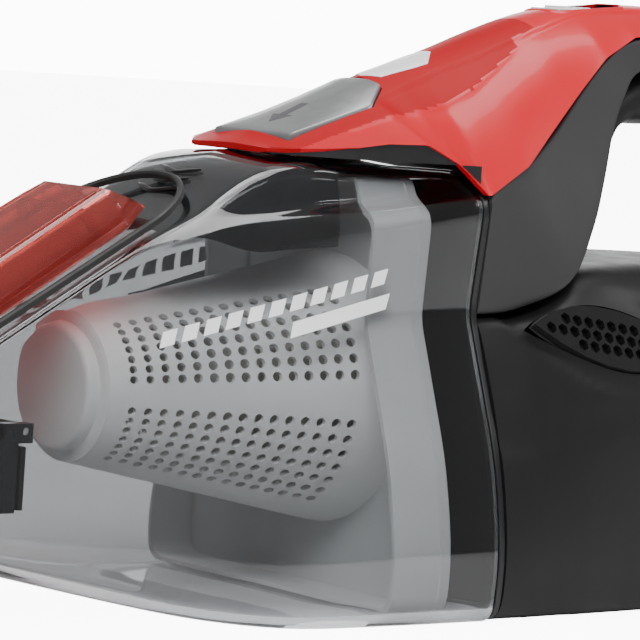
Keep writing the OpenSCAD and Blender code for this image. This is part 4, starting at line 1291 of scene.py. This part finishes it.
def body_line(x, d):
    """Half outline of the body at x, finely cut."""
    half = rounded(inset(pairs(smooth_row(BODY_ROWS, x)), d), BODY_CUTS)
    return [Vector((max(p.x, MIDDLE_GAP), p.y)) for p in half]


class VACUUM_OT_body(bpy.types.Operator):
    """Adds the two halves of the lower body with the belt step and the recess round each vent."""

    bl_idname = "vacuum.body"
    bl_label = "Lower body"

    def execute(self, context):
        for side, name in ((1, "body_left"), (-1, "body_right")):
            fit(self.half(side, name), charcoal(), "main", "charcoal_plastic", name)
        return {"FINISHED"}

    def half(self, side, name):
        """One half of the body, cut open at its vent and, on the left, at its screws."""
        stations = spread(HOUSING_X, BODY_ROWS[-1][0], 130)
        outer, inner = [], []
        for x in stations:
            out_line = even_points(body_line(x, 0), 74)
            in_line = even_points(body_line(x, BODY_WALL), 74)
            belt = smooth_row(BELT_ROWS, x)[0]
            line = []
            for i, p in enumerate(out_line):
                a, b = out_line[max(i - 1, 0)], out_line[min(i + 1, len(out_line) - 1)]
                along = unit(b - a)
                sink = 1.1 * leaf_reach(x, p.y) if p.x > 30 else 0.0
                sink += 0.5 * ease((p.y - belt) / 1.2) * (1 - ease((p.y - belt - 4) / 10))
                p = p + Vector((-along.y, along.x)) * sink
                line.append(Vector((x, side * max(p.x, MIDDLE_GAP), p.y)))
            outer.append(line)
            inner.append([Vector((x, side * p.x, p.y)) for p in in_line])
        made = shell(name + "_shell", outer, inner, closed=False, sharp=34)
        cut(made, prism("vent_cut", vent_edge(0.0), -14, 14, on_vent(side)), 34)
        if side > 0:
            for x, z in SCREW_SPOTS:
                bore = [(x + WELL_BORE * c, z + WELL_BORE * s) for c, s in circle(24)]
                cut(made, prism("screw_well", bore, 14.4, 80, lambda u, v, d: Vector((u, d, v))), 34)
        return made


def even_points(line, n):
    """n + 1 points spread evenly along a line."""
    lengths = [0.0]
    for a, b in zip(line, line[1:]):
        lengths.append(lengths[-1] + (b - a).length)
    made, i = [], 0
    for k in range(n + 1):
        want = lengths[-1] * k / n
        while i < len(line) - 2 and lengths[i + 1] < want:
            i += 1
        span = max(lengths[i + 1] - lengths[i], 1e-9)
        made.append(line[i].lerp(line[i + 1], min(1.0, (want - lengths[i]) / span)))
    return made


class VACUUM_OT_screw_wells(bpy.types.Operator):
    """Adds the posts that the housing screws run in, and the screws."""

    bl_idname = "vacuum.screw_wells"
    bl_label = "Screws"

    def execute(self, context):
        for i, (x, z) in enumerate(SCREW_SPOTS):
            reach = self.reach(x, z)
            for side, outer, bore, far, name in ((1, WELL_R, WELL_BORE, reach, "screw_well"),
                                                 (-1, 4.0, 1.5, reach - 0.4, "screw_post")):
                rings = [[Vector((x + r * c, side * y, z + r * s)) for c, s in circle(32)]
                         for r, y in ((outer, 0.2), (outer, far), (bore, far), (bore, 0.2), (outer, 0.2))]
                made = loft(f"{name}_{i + 1}", rings, caps=False)
                fit(made, charcoal(), "main", "charcoal_plastic")
        edged("housing_screws", steel(), 0.15, 1)
        return {"FINISHED"}

    def reach(self, x, z):
        """Least half width of the body's inner side round a screw."""
        found = []
        for dx in (-WELL_R, 0, WELL_R):
            line = body_line(x + dx, BODY_WALL)
            for dz in (-WELL_R, 0, WELL_R):
                for a, b in zip(line, line[1:]):
                    if a.y <= z + dz < b.y:
                        found.append(a.x + (b.x - a.x) * (z + dz - a.y) / (b.y - a.y))
                        break
        return min(found) + 0.4


class VACUUM_OT_vents(bpy.types.Operator):
    """Adds the honeycomb vents and a dark sheet behind them, painted shade that keeps the holes black."""

    bl_idname = "vacuum.vents"
    bl_label = "Vents"

    def execute(self, context):
        for side, name in ((1, "vent_grille_left"), (-1, "vent_grille_right")):
            edged(name, vent_black(), 0.25, 2, 30)
            # A near-black sheet behind the grille: painted shade for the depth of the vent holes.
            mesh = prism(name.replace("grille", "shade_sheet"), vent_edge(-0.2), -3.2, -2.4, on_vent(side))
            fit(mesh, black_rubber(), "main", "vent_plastic")
        return {"FINISHED"}


class VACUUM_OT_tail(bpy.types.Operator):
    """Adds the tail plate with the charging socket and its light."""

    bl_idname = "vacuum.tail"
    bl_label = "Tail"

    def execute(self, context):
        edged("tail_plate", charcoal(), 0.5)
        edged("charge_socket", black_plastic(), 0.35)
        edged("charge_light", light_pipe(), 0.3)
        return {"FINISHED"}


# ---- seam ----


class VACUUM_OT_seam(bpy.types.Operator):
    """Adds the seal between cup and housing, and the bulkhead behind it."""

    bl_idname = "vacuum.seam"
    bl_label = "Seam"

    def execute(self, context):
        edged("cup_seal", black_rubber(), 0.25)
        edged("front_bulkhead", black_plastic(), 0.4)
        return {"FINISHED"}


# ---- printed and moulded marks ----


class VACUUM_OT_marks(bpy.types.Operator):
    """Adds plain printed dashes on both flanks of the cup, and moulded ribs on its spine."""

    bl_idname = "vacuum.marks"
    bl_label = "Marks"

    def execute(self, context):
        for side, name in ((-1, "right"), (1, "left")):
            dashes = []
            for k in range(11):
                x = -104 + 6.9 * k
                dashes.append([(x, 0), (x + 4.6, 0), (x + 5.6, 4.2), (x + 1.0, 4.2)])
            self.printed(f"cup_dashes_{name}", dashes, side)
            self.printed(f"cup_bar_{name}", [[(-62, -7.5), (-29, -7.5), (-28, -3.2), (-61, -3.2)]], side)
        self.spine_ribs()
        return {"FINISHED"}

    def printed(self, name, shapes, side):
        """Flat marks that follow the cup's flank."""
        points, faces = [], []
        for shape in shapes:
            (x0, v0), (x1, _), (x2, v1), (x3, _) = shape
            cols, rows = 6, 4
            for skin in (0.12, 0.02):
                for i in range(rows + 1):
                    f = i / rows
                    a, b = x0 + (x3 - x0) * f, x1 + (x2 - x1) * f
                    for j in range(cols + 1):
                        x = a + (b - a) * j / cols
                        z = 76 + (x + 106.5) * 0.26 + v0 + (v1 - v0) * f
                        points.append(Vector((x, side * (cup_half_width(x, z) + skin), z)))
            size = (cols + 1) * (rows + 1)
            start = len(points) - 2 * size
            faces += grid_faces(rows + 1, cols + 1, False, start)
            faces += grid_faces(rows + 1, cols + 1, False, start + size)
            rim = list(range(cols + 1))
            rim += [i * (cols + 1) + cols for i in range(1, rows + 1)]
            rim += [rows * (cols + 1) + j for j in range(cols - 1, -1, -1)]
            rim += [i * (cols + 1) for i in range(rows - 1, 0, -1)]
            for a, b in zip(rim, rim[1:] + rim[:1]):
                faces.append((start + a, start + b, start + size + b, start + size + a))
        fit(new_object(name, points, faces), print_white(), "cup", "white_plastic")

    def spine_ribs(self):
        """Three short chevrons moulded on top of the cup's spine."""
        for k in range(3):
            x = -84 + 4.2 * k
            line = [Vector((x + 2.2 * abs(f) ** 1.2, 9 * f, 0)) for f in spread(-1, 1, 12)]
            for p in line:
                p.z = smooth_row(CUP_ROWS, p.x)[-1] + 0.05
            made = strip(f"spine_chevron_{k + 1}", line, 1.5, 0.5, lambda p: (-0.4, 0, 1))
            fit(made, black_plastic(), "cup", "black_plastic")


# ---- inner parts that keep their frame shape ----


class VACUUM_OT_inner_parts(bpy.types.Operator):
    """Gives the motor, fan, battery and board their finishes and rounded edges."""

    bl_idname = "vacuum.inner_parts"
    bl_label = "Inner parts"

    def execute(self, context):
        edged("fan_housing", dark_nylon(), 0.4)
        edged("impeller", dark_nylon(), 0.2)
        edged("motor_shaft", steel(), 0.2)
        edged("motor_can", zinc_steel(), 0.6)
        edged("motor_ring", black_rubber(), 0.4)
        edged("motor_cradle", dark_nylon(), 0.4)
        edged("battery_cells", cell_wrap(), 0.8)
        edged("cell_carrier", dark_nylon(), 0.3)
        edged("circuit_board", board_green(), 0.2)
        self.springs()
        return {"FINISHED"}

    def springs(self):
        """The button's two springs, on a mesh of their own."""
        springs = finish_mesh("button_springs", frame["nodes"]["button_spring"].data.copy(), 60)
        fit(springs, steel(), "main", "steel", "button_spring")
        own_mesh(springs)


# ---- stage ----

# The floor and the sky look nearly white, and light the vacuum only softly.
FLOOR_GLOW, SKY_LIGHT, SKY_SEEN = 9.0, 0.35, 12.0
LOOK_AT = Vector((-0.01867, 0, 0.08135))
# Each lamp: its name, place, size, power and colour.
LAMPS = (
    ("key", (-1.2, -1.3, 1.6), (1.3, 0.8), 52, (1, 1, 1)),
    ("top", (0.1, 0.1, 1.9), (1.4, 1.0), 38, (1, 1, 1)),
    ("side", (1.6, -1.0, 1.5), (0.5, 0.9), 16, (1, 0.99, 0.98)),
    ("back", (1.3, 1.6, 0.55), (2.2, 0.7), 17, (0.98, 0.99, 1)),
)


class VACUUM_OT_stage(bpy.types.Operator):
    """Adds the floor, the lights, the sky and the camera."""

    bl_idname = "vacuum.stage"
    bl_label = "Stage"

    def execute(self, context):
        s = context.scene.vacuum_stage
        self.floor(s.floor)
        self.sky()
        self.lights()
        self.camera(s)
        return {"FINISHED"}

    def floor(self, colour):
        """A wide plain floor."""
        far = 9000.0
        plane = new_object("floor", [(-far, -far, -0.05), (far, -far, -0.05), (far, far, -0.05),
                                     (-far, far, -0.05)], [(0, 1, 2, 3)])
        pale = finish("pale floor", colour, rough=0.65, rough_spread=0.04, bump=0, mottle=0.01, wear=2)
        tree = pale.node_tree
        shader = tree.nodes["Principled BSDF"]
        glow = tree.nodes.new("ShaderNodeEmission")
        glow.inputs["Strength"].default_value = FLOOR_GLOW
        both = tree.nodes.new("ShaderNodeAddShader")
        tree.links.new(shader.outputs["BSDF"], both.inputs[0])
        tree.links.new(glow.outputs["Emission"], both.inputs[1])
        mix_by_ray(tree, "Is Camera Ray", shader, both, "Material Output")
        plane.data.materials.append(pale)

    def sky(self):
        """An even white sky."""
        world = bpy.data.worlds.new("studio")
        world.use_nodes = True
        tree = world.node_tree
        dim = tree.nodes["Background"]
        bright = tree.nodes.new("ShaderNodeBackground")
        for back, strength in ((dim, SKY_LIGHT), (bright, SKY_SEEN)):
            back.inputs["Color"].default_value = (1, 1, 1, 1)
            back.inputs["Strength"].default_value = strength
        mix_by_ray(tree, "Is Camera Ray", dim, bright, "World Output")
        bpy.context.scene.world = world

    def lights(self):
        """Soft rectangular lamps that face the vacuum."""
        middle = Vector((0, 0, 0.09))
        for name, place, size, power, colour in LAMPS:
            data = bpy.data.lights.new(name, "AREA")
            data.shape = "RECTANGLE"
            data.size, data.size_y = size
            data.energy = power
            data.color = colour
            lamp = bpy.data.objects.new(name, data)
            lamp.location = place
            lamp.rotation_mode = "QUATERNION"
            lamp.rotation_quaternion = (middle - Vector(place)).to_track_quat("-Z", "Y")
            bpy.context.scene.collection.objects.link(lamp)

    def camera(self, s):
        """The camera, from its azimuth, elevation, roll and distance."""
        a, e = s.azimuth, s.elevation
        ahead = Vector((math.sin(a) * math.cos(e), math.cos(a) * math.cos(e), -math.sin(e)))
        right = Vector((math.cos(a), -math.sin(a), 0))
        up = right.cross(ahead)
        c, n = math.cos(s.roll), math.sin(s.roll)
        right, up = c * right + n * up, c * up - n * right
        data = bpy.data.cameras.new("camera")
        data.lens = s.lens
        data.sensor_width = 36
        data.clip_start, data.clip_end = 0.02, 50
        camera = bpy.data.objects.new("camera", data)
        turn = Matrix((right, up, -ahead)).transposed().to_4x4()
        camera.matrix_world = Matrix.Translation(LOOK_AT - ahead * s.distance) @ turn
        bpy.context.scene.collection.objects.link(camera)
        bpy.context.scene.camera = camera


class VACUUM_PT_sidebar(bpy.types.Panel):
    """Lists the pieces and their settings."""

    bl_idname = "VACUUM_PT_sidebar"
    bl_label = "Handheld vacuum"
    bl_space_type = "VIEW_3D"
    bl_region_type = "UI"
    bl_category = "Vacuum"

    def draw(self, context):
        for name, group in SETTINGS.items():
            box = self.layout.box()
            for prop in group.__annotations__:
                box.prop(getattr(context.scene, name), prop)
        for operator in OPERATORS:
            self.layout.operator(operator.bl_idname)


OPERATORS = (
    VACUUM_OT_stage, VACUUM_OT_dirt_cup, VACUUM_OT_spine_liner, VACUUM_OT_bed_rim, VACUUM_OT_nozzle,
    VACUUM_OT_crevice_tool, VACUUM_OT_filter, VACUUM_OT_seam, VACUUM_OT_top_cover,
    VACUUM_OT_release_button, VACUUM_OT_switch, VACUUM_OT_handle, VACUUM_OT_body,
    VACUUM_OT_screw_wells, VACUUM_OT_vents, VACUUM_OT_tail, VACUUM_OT_marks, VACUUM_OT_inner_parts,
)


def register():
    """Adds the settings, the operators and the panel to Blender."""
    for group in SETTINGS.values():
        bpy.utils.register_class(group)
    for name, group in SETTINGS.items():
        setattr(bpy.types.Scene, name, PointerProperty(type=group))
    for operator in OPERATORS:
        bpy.utils.register_class(operator)
    bpy.utils.register_class(VACUUM_PT_sidebar)


def unregister():
    """Takes them out again."""
    bpy.utils.unregister_class(VACUUM_PT_sidebar)
    for operator in reversed(OPERATORS):
        bpy.utils.unregister_class(operator)
    for name in SETTINGS:
        delattr(bpy.types.Scene, name)
    for group in reversed(SETTINGS.values()):
        bpy.utils.unregister_class(group)


def main():
    """Builds every piece."""
    register()
    for operator in OPERATORS:
        category, name = operator.bl_idname.split(".")
        getattr(getattr(bpy.ops, category), name)()


if __name__ == "__main__":
    main()
